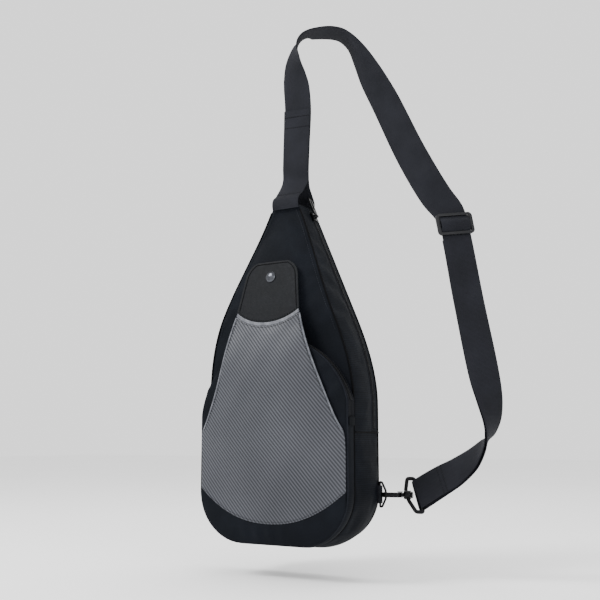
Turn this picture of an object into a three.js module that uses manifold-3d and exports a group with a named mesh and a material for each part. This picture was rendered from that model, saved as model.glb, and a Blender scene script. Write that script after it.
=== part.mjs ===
// A teardrop sling bag hanging from the top of its shoulder strap.
// Millimetres, +Z up. The bag's front faces -Y. The origin is the underside of the
// strap at its highest point, where a hook or a peg carries the whole bag.
import * as THREE from 'three';
import { mergeVertices } from 'three/addons/utils/BufferGeometryUtils.js';
import Module from 'manifold-3d';

const wasm = await Module();
wasm.setup();

// ---------- driving dimensions ----------
const GAP = 0.3;              // clearance between pieces that touch
const BAG_X = -43.5;          // bag's centre line, from the hang point
const BAG_Z = -583;           // underside of the bag, from the hang point

const HEIGHT = 377;           // bag body, underside to apex
const HALF_WIDTH = 93;        // at the widest
const CORNER_R = 55;          // bottom corners
const SHOULDER_START = 148;   // height where the sides begin to close in
const SHOULDER_R = 250;
const SHOULDER_ANGLE = THREE.MathUtils.degToRad(23);
const LEAN = 4.5;             // the apex hangs this far to the left

const BACK_Y = 28;            // flat face that rests on the wearer
const SEAM_Y = -30;           // seam between the front panel and the side gusset
const SEAM_RISE = 20.5;       // how much nearer the back that seam is at the apex
const POCKET_Y = -45.3;       // front edge of the pocket on the front
const FABRIC = 1.5;
const POCKET_ARCH_R = 95.5;   // zipped arch over the front pocket
const POCKET_ARCH_X = 1.5;
const POCKET_ARCH_H = 124;
const POCKET_ZIP_END = 134;   // height where the arch zip stops on the right
const POCKET_ZIP_LEFT = 129;  // degrees round the arch where it stops on the left
const GUSSET_JOIN = 117;      // height where the upper gusset is sewn to the lower one

const FOLD_H = 120;           // fold line of the flap
const SNAP_H = 290;
const SNAP_X = -6.5;
const SNAP_TILT = THREE.MathUtils.degToRad(9);
const SKIN = 1.2;             // coated fabric and lining

const ZIP_Y = 15;             // main zip's centre line on the right side
const ZIP_TAPE = 9.4;
const ZIP_CHAIN = 4;
const MAIN_SLIDER_H = 366;    // main slider's height when closed
const POCKET_ZIP_Y = -37.4;
const POCKET_SLIDER_ANGLE = 121;   // degrees round the arch, closed

const WEBBING = 35;           // width of the strap
const WEB_T = 1.5;

const RING_WIRE = 1.2;        // radius
const RING_H = 51.5;           // height of both ring tabs above the underside
const RING_BAR_X = 95.2;      // bar of each ring, from the bag's centre line
const RING_Y = 25;
const RING_TIP = 6.9;         // tip of the ring, from its bar

const HOOK_YAW = THREE.MathUtils.degToRad(12);

// ---------- small tools ----------
const V = (x, y, z) => new THREE.Vector3(x, y, z);
const clamp01 = (t) => Math.min(1, Math.max(0, t));
const smooth = (a, b, t) => {
  const s = clamp01((t - a) / (b - a));
  return s * s * (3 - 2 * s);
};
const lerp = THREE.MathUtils.lerp;

// a point given from the bag's centre line and underside
const bagPoint = (x, y, h) => V(BAG_X + x, y, BAG_Z + h);

function body(points, triangles) {
  const geometry = new THREE.BufferGeometry();
  const flat = points.flatMap((p) => [p.x, p.y, p.z]);
  let volume = 0;
  for (const [a, b, c] of triangles) {
    volume += points[a].dot(points[b].clone().cross(points[c]));
  }
  const ordered = volume < 0 ? triangles.map(([a, b, c]) => [a, c, b]) : triangles;
  geometry.setAttribute('position', new THREE.Float32BufferAttribute(flat, 3));
  geometry.setIndex(ordered.flat());
  return geometry;
}

// a sheet with thickness: a grid of outer points, a grid of inner points, and the rim
function slab(nu, nv, outer, inner) {
  const points = [];
  for (const side of [outer, inner]) {
    for (let i = 0; i <= nu; i += 1) {
      for (let j = 0; j <= nv; j += 1) points.push(side(i / nu, j / nv));
    }
  }
  const layer = (nu + 1) * (nv + 1);
  const id = (k, i, j) => k * layer + i * (nv + 1) + j;
  const triangles = [];
  const quad = (a, b, c, d) => triangles.push([a, b, c], [a, c, d]);
  for (let i = 0; i < nu; i += 1) {
    for (let j = 0; j < nv; j += 1) {
      quad(id(0, i, j), id(0, i + 1, j), id(0, i + 1, j + 1), id(0, i, j + 1));
      quad(id(1, i, j), id(1, i, j + 1), id(1, i + 1, j + 1), id(1, i + 1, j));
    }
    quad(id(0, i, 0), id(1, i, 0), id(1, i + 1, 0), id(0, i + 1, 0));
    quad(id(0, i, nv), id(0, i + 1, nv), id(1, i + 1, nv), id(1, i, nv));
  }
  for (let j = 0; j < nv; j += 1) {
    quad(id(0, 0, j), id(0, 0, j + 1), id(1, 0, j + 1), id(1, 0, j));
    quad(id(0, nu, j), id(1, nu, j), id(1, nu, j + 1), id(0, nu, j + 1));
  }
  return body(points, triangles);
}

// rings of points joined one after the other, with flat ends or closed on itself;
// a ribbon has both faces split along the same diagonal, so that a twist keeps its thickness
function sweep(rings, closed = false, ribbon = false) {
  const n = rings[0].length;
  const points = rings.flat();
  const triangles = [];
  const last = closed ? rings.length : rings.length - 1;
  for (let i = 0; i < last; i += 1) {
    const next = (i + 1) % rings.length;
    for (let j = 0; j < n; j += 1) {
      const k = (j + 1) % n;
      const [a, b, c, d] = [i * n + j, i * n + k, next * n + k, next * n + j];
      if (ribbon && j === 2) triangles.push([a, b, d], [b, c, d]);
      else triangles.push([a, b, c], [a, c, d]);
    }
  }
  if (!closed) {
    const end = (rings.length - 1) * n;
    for (let j = 1; j < n - 1; j += 1) {
      triangles.push([0, j + 1, j], [end, end + j, end + j + 1]);
    }
  }
  return body(points, triangles);
}

// a round bar bent along a closed outline that lies in one plane
function wireRing(corners, cornerRadius, radius, sides = 8) {
  const path = [];
  const n = corners.length;
  corners.forEach((corner, i) => {
    const before = corners[(i + n - 1) % n].clone().sub(corner).normalize();
    const after = corners[(i + 1) % n].clone().sub(corner).normalize();
    const start = corner.clone().addScaledVector(before, cornerRadius);
    const end = corner.clone().addScaledVector(after, cornerRadius);
    const bend = new THREE.QuadraticBezierCurve3(start, corner, end);
    path.push(...bend.getPoints(4));
  });
  const plane = corners[1].clone().sub(corners[0]).cross(corners[2].clone().sub(corners[1])).normalize();
  const rings = path.map((p, i) => {
    const tangent = path[(i + 1) % path.length].clone().sub(path[(i + path.length - 1) % path.length]);
    const out = tangent.normalize().cross(plane).normalize();
    return Array.from({ length: sides }, (_, j) => {
      const angle = (2 * Math.PI * j) / sides;
      return p.clone().addScaledVector(out, radius * Math.cos(angle)).addScaledVector(plane, radius * Math.sin(angle));
    });
  });
  return sweep(rings, true);
}

// puts a geometry made about its own origin into a place with its own axes
function place(geometry, origin, ex, ey, ez) {
  const matrix = new THREE.Matrix4().makeBasis(ex, ey, ez).setPosition(origin);
  return geometry.applyMatrix4(matrix);
}

function toManifold(geometry) {
  const bare = geometry.clone();
  bare.deleteAttribute('normal');
  bare.deleteAttribute('uv');
  const merged = mergeVertices(bare, 1e-4);
  return new wasm.Manifold(new wasm.Mesh({
    numProp: 3,
    vertProperties: new Float32Array(merged.attributes.position.array),
    triVerts: new Uint32Array(merged.index.array),
  }));
}

function fromManifold(solid) {
  const mesh = solid.getMesh();
  const geometry = new THREE.BufferGeometry();
  geometry.setAttribute('position', new THREE.BufferAttribute(mesh.vertProperties.slice(), 3));
  geometry.setIndex(new THREE.BufferAttribute(mesh.triVerts.slice(), 1));
  return geometry;
}

const joined = (...geometries) =>
  fromManifold(geometries.map(toManifold).reduce((a, b) => a.add(b)));
const cut = (geometry, ...tools) =>
  fromManifold(tools.map(toManifold).reduce((a, b) => a.subtract(b), toManifold(geometry)));

function roundedShape(width, length, radius) {
  const x = width / 2;
  const y = length / 2;
  const shape = new THREE.Shape();
  shape.moveTo(-x + radius, -y);
  shape.lineTo(x - radius, -y);
  shape.absarc(x - radius, -y + radius, radius, -Math.PI / 2, 0);
  shape.lineTo(x, y - radius);
  shape.absarc(x - radius, y - radius, radius, 0, Math.PI / 2);
  shape.lineTo(-x + radius, y);
  shape.absarc(-x + radius, y - radius, radius, Math.PI / 2, Math.PI);
  shape.lineTo(-x, -y + radius);
  shape.absarc(-x + radius, -y + radius, radius, Math.PI, 1.5 * Math.PI);
  return shape;
}

// extruded about the middle of its thickness, along +Z
function plate(shape, thickness, curveSegments = 4) {
  const geometry = new THREE.ExtrudeGeometry(shape, { depth: thickness, bevelEnabled: false, curveSegments });
  return geometry.translate(0, 0, -thickness / 2);
}

// a cylinder along +Y, about its own middle
const rod = (radius, length, sides = 12) => new THREE.CylinderGeometry(radius, radius, length, sides);

// a turned piece along +Y from a closed profile of [radius, height]
const turned = (profile, sides = 16) =>
  new THREE.LatheGeometry(profile.map(([r, y]) => new THREE.Vector2(r, y)), sides);

// ---------- materials ----------
const finish = (color, roughness, metalness = 0) => ({ color, roughness, metalness });
const NYLON = finish('#1b1e27', 0.85);
const LINING = finish('#23262d', 0.9);
const COATED = finish('#55585e', 0.55);
const EDGE = finish('#80838a', 0.6);
const LEATHER = finish('#1e222b', 0.6);
const STRAP = finish('#22242b', 0.9);
const TAPE = finish('#191b22', 0.9);
const COIL = finish('#15161b', 0.5);
const BLACK_METAL = finish('#1c1c1f', 0.35, 0.9);
const SNAP_METAL = finish('#77797d', 0.25, 1);
const PLASTIC = finish('#17181b', 0.45);
const FOAM = finish('#2a2c31', 0.95);

const bag = new THREE.Group();
function add(name, geometry, look) {
  const mesh = new THREE.Mesh(geometry, new THREE.MeshStandardMaterial(look));
  mesh.name = name;
  bag.add(mesh);
  return mesh;
}

// ---------- the bag's outline ----------
function halfWidth(h, inset = 0) {
  if (h < CORNER_R) {
    const rise = Math.max(0, (CORNER_R - inset) ** 2 - (CORNER_R - h) ** 2);
    return HALF_WIDTH - CORNER_R + Math.sqrt(rise);
  }
  if (h < SHOULDER_START) return HALF_WIDTH - inset;
  const radius = SHOULDER_R - inset;
  const up = h - SHOULDER_START;
  const top = radius * Math.sin(SHOULDER_ANGLE);
  const centre = HALF_WIDTH - SHOULDER_R;
  if (up < top) return centre + Math.sqrt(radius ** 2 - up ** 2);
  return centre + radius * Math.cos(SHOULDER_ANGLE) - (up - top) * Math.tan(SHOULDER_ANGLE);
}

const centreX = (h) => -LEAN * smooth(SHOULDER_START, SHOULDER_START + SHOULDER_R * Math.sin(SHOULDER_ANGLE), h);
const seamY = (h) => SEAM_Y + SEAM_RISE * smooth(240, HEIGHT, h);

// full front panel: flat behind the pocket, crowned above it
function frontY(u, h) {
  const crown = 7 * smooth(222, 285, h) * (1 - 0.8 * smooth(310, HEIGHT, h));
  return seamY(h) - crown * (1 - u * u);
}

// a plate that fills the bag's outline, between two depths given as functions of (u, h)
function outlinePlate(inset, from, to, front, back, rows = 22, columns = 8) {
  const point = (depth) => (v, u) => {
    const h = lerp(from, to, v);
    const across = 2 * u - 1;
    return bagPoint(centreX(h) + across * halfWidth(h, inset), depth(across, h), h);
  };
  return slab(rows, columns, point(front), point(back));
}

// the path round the underside, from a height on the right to the same height on the left
function rimPoint(t, top, inset) {
  const corner = (CORNER_R * Math.PI) / 2;
  const side = top - CORNER_R;
  const flat = 2 * (HALF_WIDTH - CORNER_R);
  const total = 2 * side + 2 * corner + flat;
  const along = Math.abs(t - 0.5) * total;
  const sign = t < 0.5 ? 1 : -1;
  if (along <= flat / 2) return [sign * along, inset];
  if (along <= flat / 2 + corner) {
    const angle = (along - flat / 2) / CORNER_R;
    const r = CORNER_R - inset;
    return [sign * (flat / 2 + r * Math.sin(angle)), CORNER_R - r * Math.cos(angle)];
  }
  return [sign * (HALF_WIDTH - inset), CORNER_R + along - flat / 2 - corner];
}

function rimStrip(top, outerInset, innerInset, front, back, steps = 30) {
  const point = (inset) => (t, v) => {
    const [x, h] = rimPoint(t, top, inset);
    return bagPoint(x, lerp(front, back, v), h);
  };
  return slab(steps, 1, point(outerInset), point(innerInset));
}

// a strip of the side wall above the gusset join; side is +1 right, -1 left
function sideStrip(side, from, to, outerInset, innerInset, front, back, steps = 16) {
  const point = (inset) => (t, v) => {
    const h = lerp(from, to, t);
    const y0 = typeof front === 'function' ? front(h) : front;
    return bagPoint(centreX(h) + side * halfWidth(h, inset), lerp(y0, back, v), h);
  };
  return slab(steps, 1, point(outerInset), point(innerInset));
}

// ---------- main compartment ----------
const gussetFront = (h) => seamY(h) + FABRIC + GAP;
const PANEL_FRONT = BACK_Y - FABRIC;
const GUSSET_BACK = PANEL_FRONT - GAP;
const ZIP_FRONT = ZIP_Y - ZIP_TAPE / 2 - GAP;
const ZIP_BACK = ZIP_Y + ZIP_TAPE / 2 + GAP;
const JOIN = GUSSET_JOIN + GAP;
const TOP = HEIGHT - GAP;

add('front_panel', outlinePlate(GAP, GAP, TOP, frontY, (u, h) => frontY(u, h) + FABRIC), NYLON);
add('back_panel', outlinePlate(GAP, GAP, TOP, () => BACK_Y, () => PANEL_FRONT, 22, 4), NYLON);
add('back_foam', outlinePlate(4, 5, HEIGHT - 6, () => GUSSET_BACK, () => GUSSET_BACK - 5, 16, 2), FOAM);
const liningY = GUSSET_BACK - 5 - GAP;
add('back_lining', outlinePlate(4, 5, HEIGHT - 6, () => liningY, () => liningY - SKIN, 16, 2), LINING);
const sleeveY = liningY - SKIN - GAP;
add('inner_sleeve', outlinePlate(14, 25, 170, () => sleeveY, () => sleeveY - SKIN, 8, 2), LINING);
add('gusset_lower', rimStrip(GUSSET_JOIN, 0, FABRIC, SEAM_Y + FABRIC + GAP, GUSSET_BACK), NYLON);
add('gusset_left', sideStrip(-1, JOIN, TOP, 0, FABRIC, gussetFront, GUSSET_BACK), NYLON);
add('gusset_right_front', sideStrip(1, JOIN, TOP, 0, FABRIC, gussetFront, ZIP_FRONT), NYLON);
add('gusset_right_rear', sideStrip(1, JOIN, TOP, 0, FABRIC, ZIP_BACK, GUSSET_BACK), NYLON);

const apexHalf = halfWidth(HEIGHT) - GAP;
const apexDepth = GUSSET_BACK - gussetFront(HEIGHT);
const apexPlate = new THREE.BoxGeometry(2 * apexHalf, apexDepth, FABRIC);
const apexMiddle = bagPoint(centreX(HEIGHT), (GUSSET_BACK + gussetFront(HEIGHT)) / 2, HEIGHT + FABRIC / 2);
add('apex_panel', apexPlate.translate(apexMiddle.x, apexMiddle.y, apexMiddle.z), NYLON);

// ---------- main zip, down the right side near the back ----------
const ZIP_LOW = JOIN + 1;
const ZIP_HIGH = HEIGHT - 3;
const CHAIN_PROUD = 1.3;
add('main_zip_tape_front', sideStrip(1, ZIP_LOW, ZIP_HIGH, 0.4, 1.4, ZIP_FRONT + GAP, ZIP_Y - 0.15), TAPE);
add('main_zip_tape_rear', sideStrip(1, ZIP_LOW, ZIP_HIGH, 0.4, 1.4, ZIP_Y + 0.15, ZIP_BACK - GAP), TAPE);
add('main_zip_coil', sideStrip(
  1, ZIP_LOW + 4, ZIP_HIGH - 4, -CHAIN_PROUD, 0.1, ZIP_Y - ZIP_CHAIN / 2, ZIP_Y + ZIP_CHAIN / 2,
), COIL);

// a zip slider made along +Y (travel), outwards along +Z, across along +X; Z = 0 is the bag's surface
const SLIDER_LENGTH = 10;
const PIN_HEIGHT = 5.4;
function zipSlider() {
  const roof = 1.7;
  const thickness = 1.2;
  const width = 4.4;
  const shape = new THREE.Shape();
  shape.moveTo(-width, 0);
  shape.lineTo(-width, roof + thickness);
  shape.lineTo(width, roof + thickness);
  shape.lineTo(width, 0);
  shape.lineTo(width - thickness, 0);
  shape.lineTo(width - thickness, roof);
  shape.lineTo(-width + thickness, roof);
  shape.lineTo(-width + thickness, 0);
  const shell = plate(shape, SLIDER_LENGTH).rotateX(Math.PI / 2);
  const lugs = [-1, 1].map((side) =>
    new THREE.BoxGeometry(1.1, 3, 4).translate(side * 2.5, 0, roof + thickness + 1.7));
  const pin = rod(0.8, 6, 10).rotateZ(Math.PI / 2).translate(0, 0, PIN_HEIGHT);
  return joined(shell, ...lugs, pin);
}

// its pull tab, lying towards -Y from a pin at the origin
function zipPull(length) {
  const blade = plate(roundedShape(7, length, 2), 1.4).translate(0, -length / 2 - 2.2, 0);
  const neck = new THREE.BoxGeometry(3, 4, 1.4).translate(0, -1.8, 0);
  const eye = rod(1.9, 3.4, 12).rotateZ(Math.PI / 2);
  const bore = rod(1.1, 8, 12).rotateZ(Math.PI / 2);
  const slot = plate(roundedShape(3, length - 9, 1.2), 4).translate(0, -length / 2 - 3.5, 0);
  return cut(joined(blade, neck, eye), bore, slot);
}

// side wall's directions on its straight upper stretch
const wallOut = V(Math.cos(SHOULDER_ANGLE), 0, Math.sin(SHOULDER_ANGLE));
const wallUp = V(-Math.sin(SHOULDER_ANGLE), 0, Math.cos(SHOULDER_ANGLE));
const across = V(0, -1, 0);
const mainSliderFoot = bagPoint(centreX(MAIN_SLIDER_H) + halfWidth(MAIN_SLIDER_H), ZIP_Y, MAIN_SLIDER_H);
add('main_zip_slider', place(zipSlider(), mainSliderFoot, across.clone().negate(), wallUp, wallOut), BLACK_METAL);
const mainPin = mainSliderFoot.clone().addScaledVector(wallOut, PIN_HEIGHT);
// its pull is folded up along the wall, between the legs of the strap
add('main_zip_pull', place(
  zipPull(22), mainPin, across.clone().negate(), wallUp.clone().negate(), wallOut.clone().negate(),
), BLACK_METAL);

// ---------- front pocket ----------
const archEdge = (side, h, inset = 0) => {
  if (h < POCKET_ARCH_H) return side * halfWidth(h, inset);
  const r = POCKET_ARCH_R - inset;
  const round = Math.sqrt(Math.max(0, r ** 2 - (h - POCKET_ARCH_H) ** 2));
  return side * Math.min(HALF_WIDTH - inset, round + side * POCKET_ARCH_X);
};
const POCKET_TOP = POCKET_ARCH_H + POCKET_ARCH_R - 0.8;

function pocketY(x, h) {
  const u = clamp01(Math.abs(x) / HALF_WIDTH);
  const up = clamp01(h / POCKET_TOP);
  return POCKET_Y - 6 * (1 - u * u) * Math.sqrt(Math.sin(Math.PI * up));
}

function pocketPlate(inset, near, far) {
  const point = (offset) => (v, u) => {
    const h = lerp(inset, POCKET_TOP - inset, v);
    const x = lerp(archEdge(-1, h, inset), archEdge(1, h, inset), u);
    return bagPoint(x, pocketY(x, h) + offset, h);
  };
  return slab(24, 10, point(near), point(far));
}
add('pocket_panel', pocketPlate(GAP, 0, FABRIC), NYLON);

const POCKET_BACK = SEAM_Y - GAP;
const POCKET_FRONT = POCKET_Y + FABRIC + GAP;
add('pocket_gusset', rimStrip(POCKET_ZIP_END, 0, FABRIC, POCKET_FRONT, POCKET_BACK), NYLON);

// the arch: a short straight rise on each side, and a round top
const archStart = Math.acos((HALF_WIDTH - POCKET_ARCH_X) / POCKET_ARCH_R);
const archFinish = Math.PI - Math.acos((HALF_WIDTH + POCKET_ARCH_X) / POCKET_ARCH_R);
const zipFinish = THREE.MathUtils.degToRad(POCKET_ZIP_LEFT);
const RISE_FOOT = POCKET_ZIP_END + GAP;

function archPoint(angle, inset) {
  const r = POCKET_ARCH_R - inset;
  return [POCKET_ARCH_X + r * Math.cos(angle), POCKET_ARCH_H + r * Math.sin(angle)];
}

// a strip along the arch between two angles, with the straight rise at either end
function archStrip(outer, inner, front, back, from, to, rightRise, leftRise, steps = 30) {
  const point = (inset) => (t, v) => {
    const y = lerp(front, back, v);
    const k = t * steps;
    if (rightRise && k < 0.5) return bagPoint(HALF_WIDTH - inset, y, rightRise);
    if (leftRise && k > steps - 0.5) return bagPoint(inset - HALF_WIDTH, y, leftRise);
    const first = rightRise ? 1 : 0;
    const last = steps - (leftRise ? 1 : 0);
    const [x, h] = archPoint(lerp(from, to, (k - first) / (last - first)), inset);
    return bagPoint(x, y, h);
  };
  return slab(steps, 1, point(outer), point(inner));
}
const zipStrip = (outer, inner, front, back, trim = 0) =>
  archStrip(outer, inner, front, back, archStart, zipFinish - trim / 40, RISE_FOOT + trim);
add('pocket_zip_tape_front', zipStrip(0.4, 1.4, POCKET_FRONT, POCKET_ZIP_Y - 0.15), TAPE);
add('pocket_zip_tape_rear', zipStrip(0.4, 1.4, POCKET_ZIP_Y + 0.15, POCKET_BACK), TAPE);
const POCKET_CHAIN = [POCKET_ZIP_Y - ZIP_CHAIN / 2, POCKET_ZIP_Y + ZIP_CHAIN / 2];
add('pocket_zip_coil', zipStrip(-CHAIN_PROUD, -0.2, ...POCKET_CHAIN, 2), COIL);
add('pocket_gusset_left', archStrip(
  0, FABRIC, POCKET_FRONT, POCKET_BACK, zipFinish + 0.006, archFinish, 0, RISE_FOOT, 12,
), NYLON);

// folded tabs that close the two ends of the arch zip
const END_TAB = { thickness: 1.2, length: 9, width: POCKET_BACK - POCKET_FRONT - 1 };
function zipEnd(origin, out, up) {
  const tab = new THREE.BoxGeometry(END_TAB.thickness, END_TAB.width, END_TAB.length);
  return place(tab.translate(END_TAB.thickness / 2 + GAP, 0, 0), origin, out, up.clone().cross(out), up);
}
const POCKET_MIDDLE = (POCKET_BACK + POCKET_FRONT) / 2;
const rightEnd = bagPoint(HALF_WIDTH, POCKET_MIDDLE, POCKET_ZIP_END - 5);
add('pocket_zip_end_right', zipEnd(rightEnd, V(1, 0, 0), V(0, 0, 1)), NYLON);
const endAngle = zipFinish + 0.055;
const [leftEndX, leftEndH] = archPoint(endAngle, 0);
add('pocket_zip_end_left', zipEnd(
  bagPoint(leftEndX, POCKET_MIDDLE, leftEndH),
  V(Math.cos(endAngle), 0, Math.sin(endAngle)), V(-Math.sin(endAngle), 0, Math.cos(endAngle)),
), NYLON);

const sliderAngle = THREE.MathUtils.degToRad(POCKET_SLIDER_ANGLE);
const archOut = V(Math.cos(sliderAngle), 0, Math.sin(sliderAngle));
const archUp = V(Math.sin(sliderAngle), 0, -Math.cos(sliderAngle));
const pocketSliderFoot = bagPoint(POCKET_ARCH_X, POCKET_ZIP_Y, POCKET_ARCH_H).addScaledVector(archOut, POCKET_ARCH_R);
add('pocket_zip_slider', place(zipSlider(), pocketSliderFoot, across, archUp, archOut), BLACK_METAL);
const pocketPin = pocketSliderFoot.clone().addScaledVector(archOut, PIN_HEIGHT);
add('pocket_zip_pull', place(zipPull(20), pocketPin, across, archUp, archOut), BLACK_METAL);

// ---------- coated panel and fabric band sewn on the lower pocket ----------
const COVER_HALF = 91.5;
const coverLow = (x) => 21 + 37 * Math.abs(x / HALF_WIDTH) ** 2.2;
const rimLow = (x) => {
  const over = Math.max(0, Math.abs(x) - HALF_WIDTH + CORNER_R);
  return CORNER_R - Math.sqrt(CORNER_R ** 2 - over ** 2);
};

function coverPlate(low, high, rows) {
  const point = (offset) => (u, v) => {
    const x = (2 * u - 1) * COVER_HALF;
    const h = lerp(low(x), high(x), v);
    return bagPoint(x, pocketY(x, h) + offset, h);
  };
  return slab(16, rows, point(-GAP - SKIN), point(-GAP));
}
add('coated_panel', coverPlate((x) => coverLow(x) + GAP / 2, () => FOLD_H - GAP, 6), COATED);
add('base_band', coverPlate((x) => rimLow(x) + 0.6, (x) => coverLow(x) - GAP / 2, 3), NYLON);

// ---------- flap ----------
const TAB_LOW = 252;
const TAB_TOP = 309;
const TAB_CORNER = 17;
const TAB_DIP = 14;
const STRIP = 4;              // light strip between the two rows of stitches
const EDGE_FOLD = 2.3;        // folded edge down each side of the flap
const FLAP_LOW = FOLD_H + GAP;
const LAY = -54.6;            // the flap's outer face where it lies on the pocket
const FLAP_SLOPE = 0.2;       // leaning back towards the snap

// half width: a curve from the pocket's corners in to the foot of the tab, then the tab
const FOOT_HALF = 41;
const EDGE_PULL_H = 147;
const EDGE_PULL = { left: 75, right: 70 };
function flapHalf(h, side) {
  if (h < TAB_LOW) {
    const a = FOLD_H - 2 * EDGE_PULL_H + TAB_LOW;
    const b = 2 * (EDGE_PULL_H - FOLD_H);
    const pull = side < 0 ? EDGE_PULL.left : EDGE_PULL.right;
    const t = (-b + Math.sqrt(b * b + 4 * a * Math.max(0, h - FOLD_H))) / (2 * a);
    return (1 - t) ** 2 * (HALF_WIDTH - 3) + 2 * t * (1 - t) * pull + t * t * FOOT_HALF;
  }
  const edge = lerp(FOOT_HALF, FOOT_HALF - 9, (h - TAB_LOW) / (TAB_TOP - TAB_LOW));
  const over = Math.max(0, h - TAB_TOP + TAB_CORNER);
  return edge - TAB_CORNER + Math.sqrt(Math.max(0, TAB_CORNER ** 2 - over ** 2));
}
const flapX = (h) => SNAP_X * smooth(150, 250, h);

function flapY(x, h) {
  const soft = 2.2;
  const rise = -37.4 + FLAP_SLOPE * (h - SNAP_H) - LAY;
  return LAY + soft * Math.log1p(Math.exp(rise / soft)) + 6 * (x / HALF_WIDTH) ** 2;
}

function flapSheet(near, far, from, to, inset, rows, columns = 10) {
  const point = (offset) => (v, s) => {
    const u = 2 * s - 1;
    const foot = (u * (FOOT_HALF - inset)) / FOOT_HALF;
    const h = lerp(from(foot), to(foot), v);
    const x = flapX(h) + u * (flapHalf(h, u) - inset);
    return bagPoint(x, flapY(x, h) + offset, h);
  };
  return slab(rows, columns, point(near), point(far));
}

function flapEdge(side) {
  const point = (offset) => (v, s) => {
    const h = lerp(FLAP_LOW, TAB_LOW - STRIP - 2, v);
    const x = flapX(h) + side * (flapHalf(h, side) - EDGE_FOLD * s);
    return bagPoint(x, flapY(x, h) + offset, h);
  };
  return slab(12, 1, point(0), point(SKIN));
}

const tabFoot = (u) => TAB_LOW - TAB_DIP * (1 - u * u);
const flapFoot = () => FLAP_LOW;
const TAB_END = TAB_TOP - 0.6;
const snapOut = V(0, -Math.cos(SNAP_TILT), Math.sin(SNAP_TILT));
const snapUp = V(0, Math.sin(SNAP_TILT), Math.cos(SNAP_TILT));
const snapFoot = bagPoint(SNAP_X, flapY(SNAP_X, SNAP_H), SNAP_H);
const snapPlace = (geometry) => place(geometry, snapFoot, V(-1, 0, 0), snapOut, snapUp);
const punch = (radius) => snapPlace(rod(radius, 30, 16));

add('flap_panel', flapSheet(0, SKIN, flapFoot, (u) => tabFoot(u) - STRIP - GAP, EDGE_FOLD + GAP, 12), COATED);
add('flap_edge_right', flapEdge(1), EDGE);
add('flap_edge_left', flapEdge(-1), EDGE);
add('tab_strip', flapSheet(0, SKIN, (u) => tabFoot(u) - STRIP, (u) => tabFoot(u) - GAP, 1, 1), EDGE);
add('flap_tab', cut(flapSheet(0, SKIN, tabFoot, () => TAB_END, 0, 10), punch(2.3)), LEATHER);
const flapBack = SKIN + GAP;
add('flap_lining', cut(
  flapSheet(flapBack, flapBack + SKIN, flapFoot, () => TAB_END - 1, 1.2, 16, 8), punch(2.3),
), LINING);

// snap fastener, turned about its own axis; height 0 is the outer face of the tab
add('snap_cap', snapPlace(turned([
  [0, -3.3], [1.9, -3.3], [1.9, 0.5], [6, 0.5], [6.3, 1], [5.4, 2.1], [3.4, 2.8], [0, 3],
])), SNAP_METAL);
add('snap_socket', snapPlace(turned([
  [3.2, -5.3], [5.6, -5.3], [5.6, -3.1], [2.2, -3.1], [2.2, -3.6], [3.2, -3.6], [3.2, -5.3],
])), SNAP_METAL);
add('snap_stud', snapPlace(turned([[0, -6.1], [5.2, -6.1], [5.2, -5.6], [2.9, -5.6], [2.9, -3.9], [0, -3.9]])), SNAP_METAL);
add('snap_post', snapPlace(turned([[0, -9.7], [4.8, -9.7], [4.8, -8.9], [1.3, -8.9], [1.3, -6.5], [0, -6.5]])), SNAP_METAL);
const frontPanel = bag.children.find((mesh) => mesh.name === 'front_panel');
frontPanel.geometry = cut(frontPanel.geometry, punch(1.8));

// ---------- ring tabs and rings at the lower back corners ----------
const TAB_WIDTH = 19;
function ringTab(side) {
  const inner = RING_WIRE + 0.35;
  const outer = inner + 0.9;
  const start = HALF_WIDTH + GAP - RING_BAR_X;
  const shape = new THREE.Shape();
  shape.moveTo(start, -outer);
  shape.lineTo(0, -outer);
  shape.absarc(0, 0, outer, -Math.PI / 2, Math.PI / 2);
  shape.lineTo(start, outer);
  shape.lineTo(start, inner);
  shape.lineTo(0, inner);
  shape.absarc(0, 0, inner, Math.PI / 2, -Math.PI / 2, true);
  shape.lineTo(start, -inner);
  const origin = bagPoint(side * RING_BAR_X, RING_Y, RING_H);
  return place(plate(shape, TAB_WIDTH, 8), origin, V(side, 0, 0), V(0, side, 0), V(0, 0, 1));
}

const ringTip = RING_BAR_X + RING_TIP;
function ring(side) {
  const outline = [[0, 13.2], [2.6, 12.8], [RING_TIP, 4]];
  const half = outline.map(([x, h]) => bagPoint(side * (RING_BAR_X + x), RING_Y, RING_H + h));
  const other = outline.map(([x, h]) => bagPoint(side * (RING_BAR_X + x), RING_Y, RING_H - h));
  return wireRing([...half, ...other.reverse()], 1.2, RING_WIRE);
}
for (const [word, side] of [['right', 1], ['left', -1]]) {
  add(`ring_tab_${word}`, ringTab(side), STRAP);
  add(`ring_${word}`, ring(side), BLACK_METAL);
}

// ---------- snap hook caught on the right ring ----------
const hookAlong = V(Math.cos(HOOK_YAW), Math.sin(HOOK_YAW), 0);
const hookAcross = V(-Math.sin(HOOK_YAW), Math.cos(HOOK_YAW), 0);
const hookOrigin = bagPoint(ringTip, RING_Y, RING_H);
const hookPlace = (geometry) => place(geometry, hookOrigin, hookAlong, hookAcross, V(0, 0, 1));
const alongRod = (radius, from, to, sides = 16) =>
  rod(radius, to - from, sides).rotateZ(-Math.PI / 2).translate((from + to) / 2, 0, 0);

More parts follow.
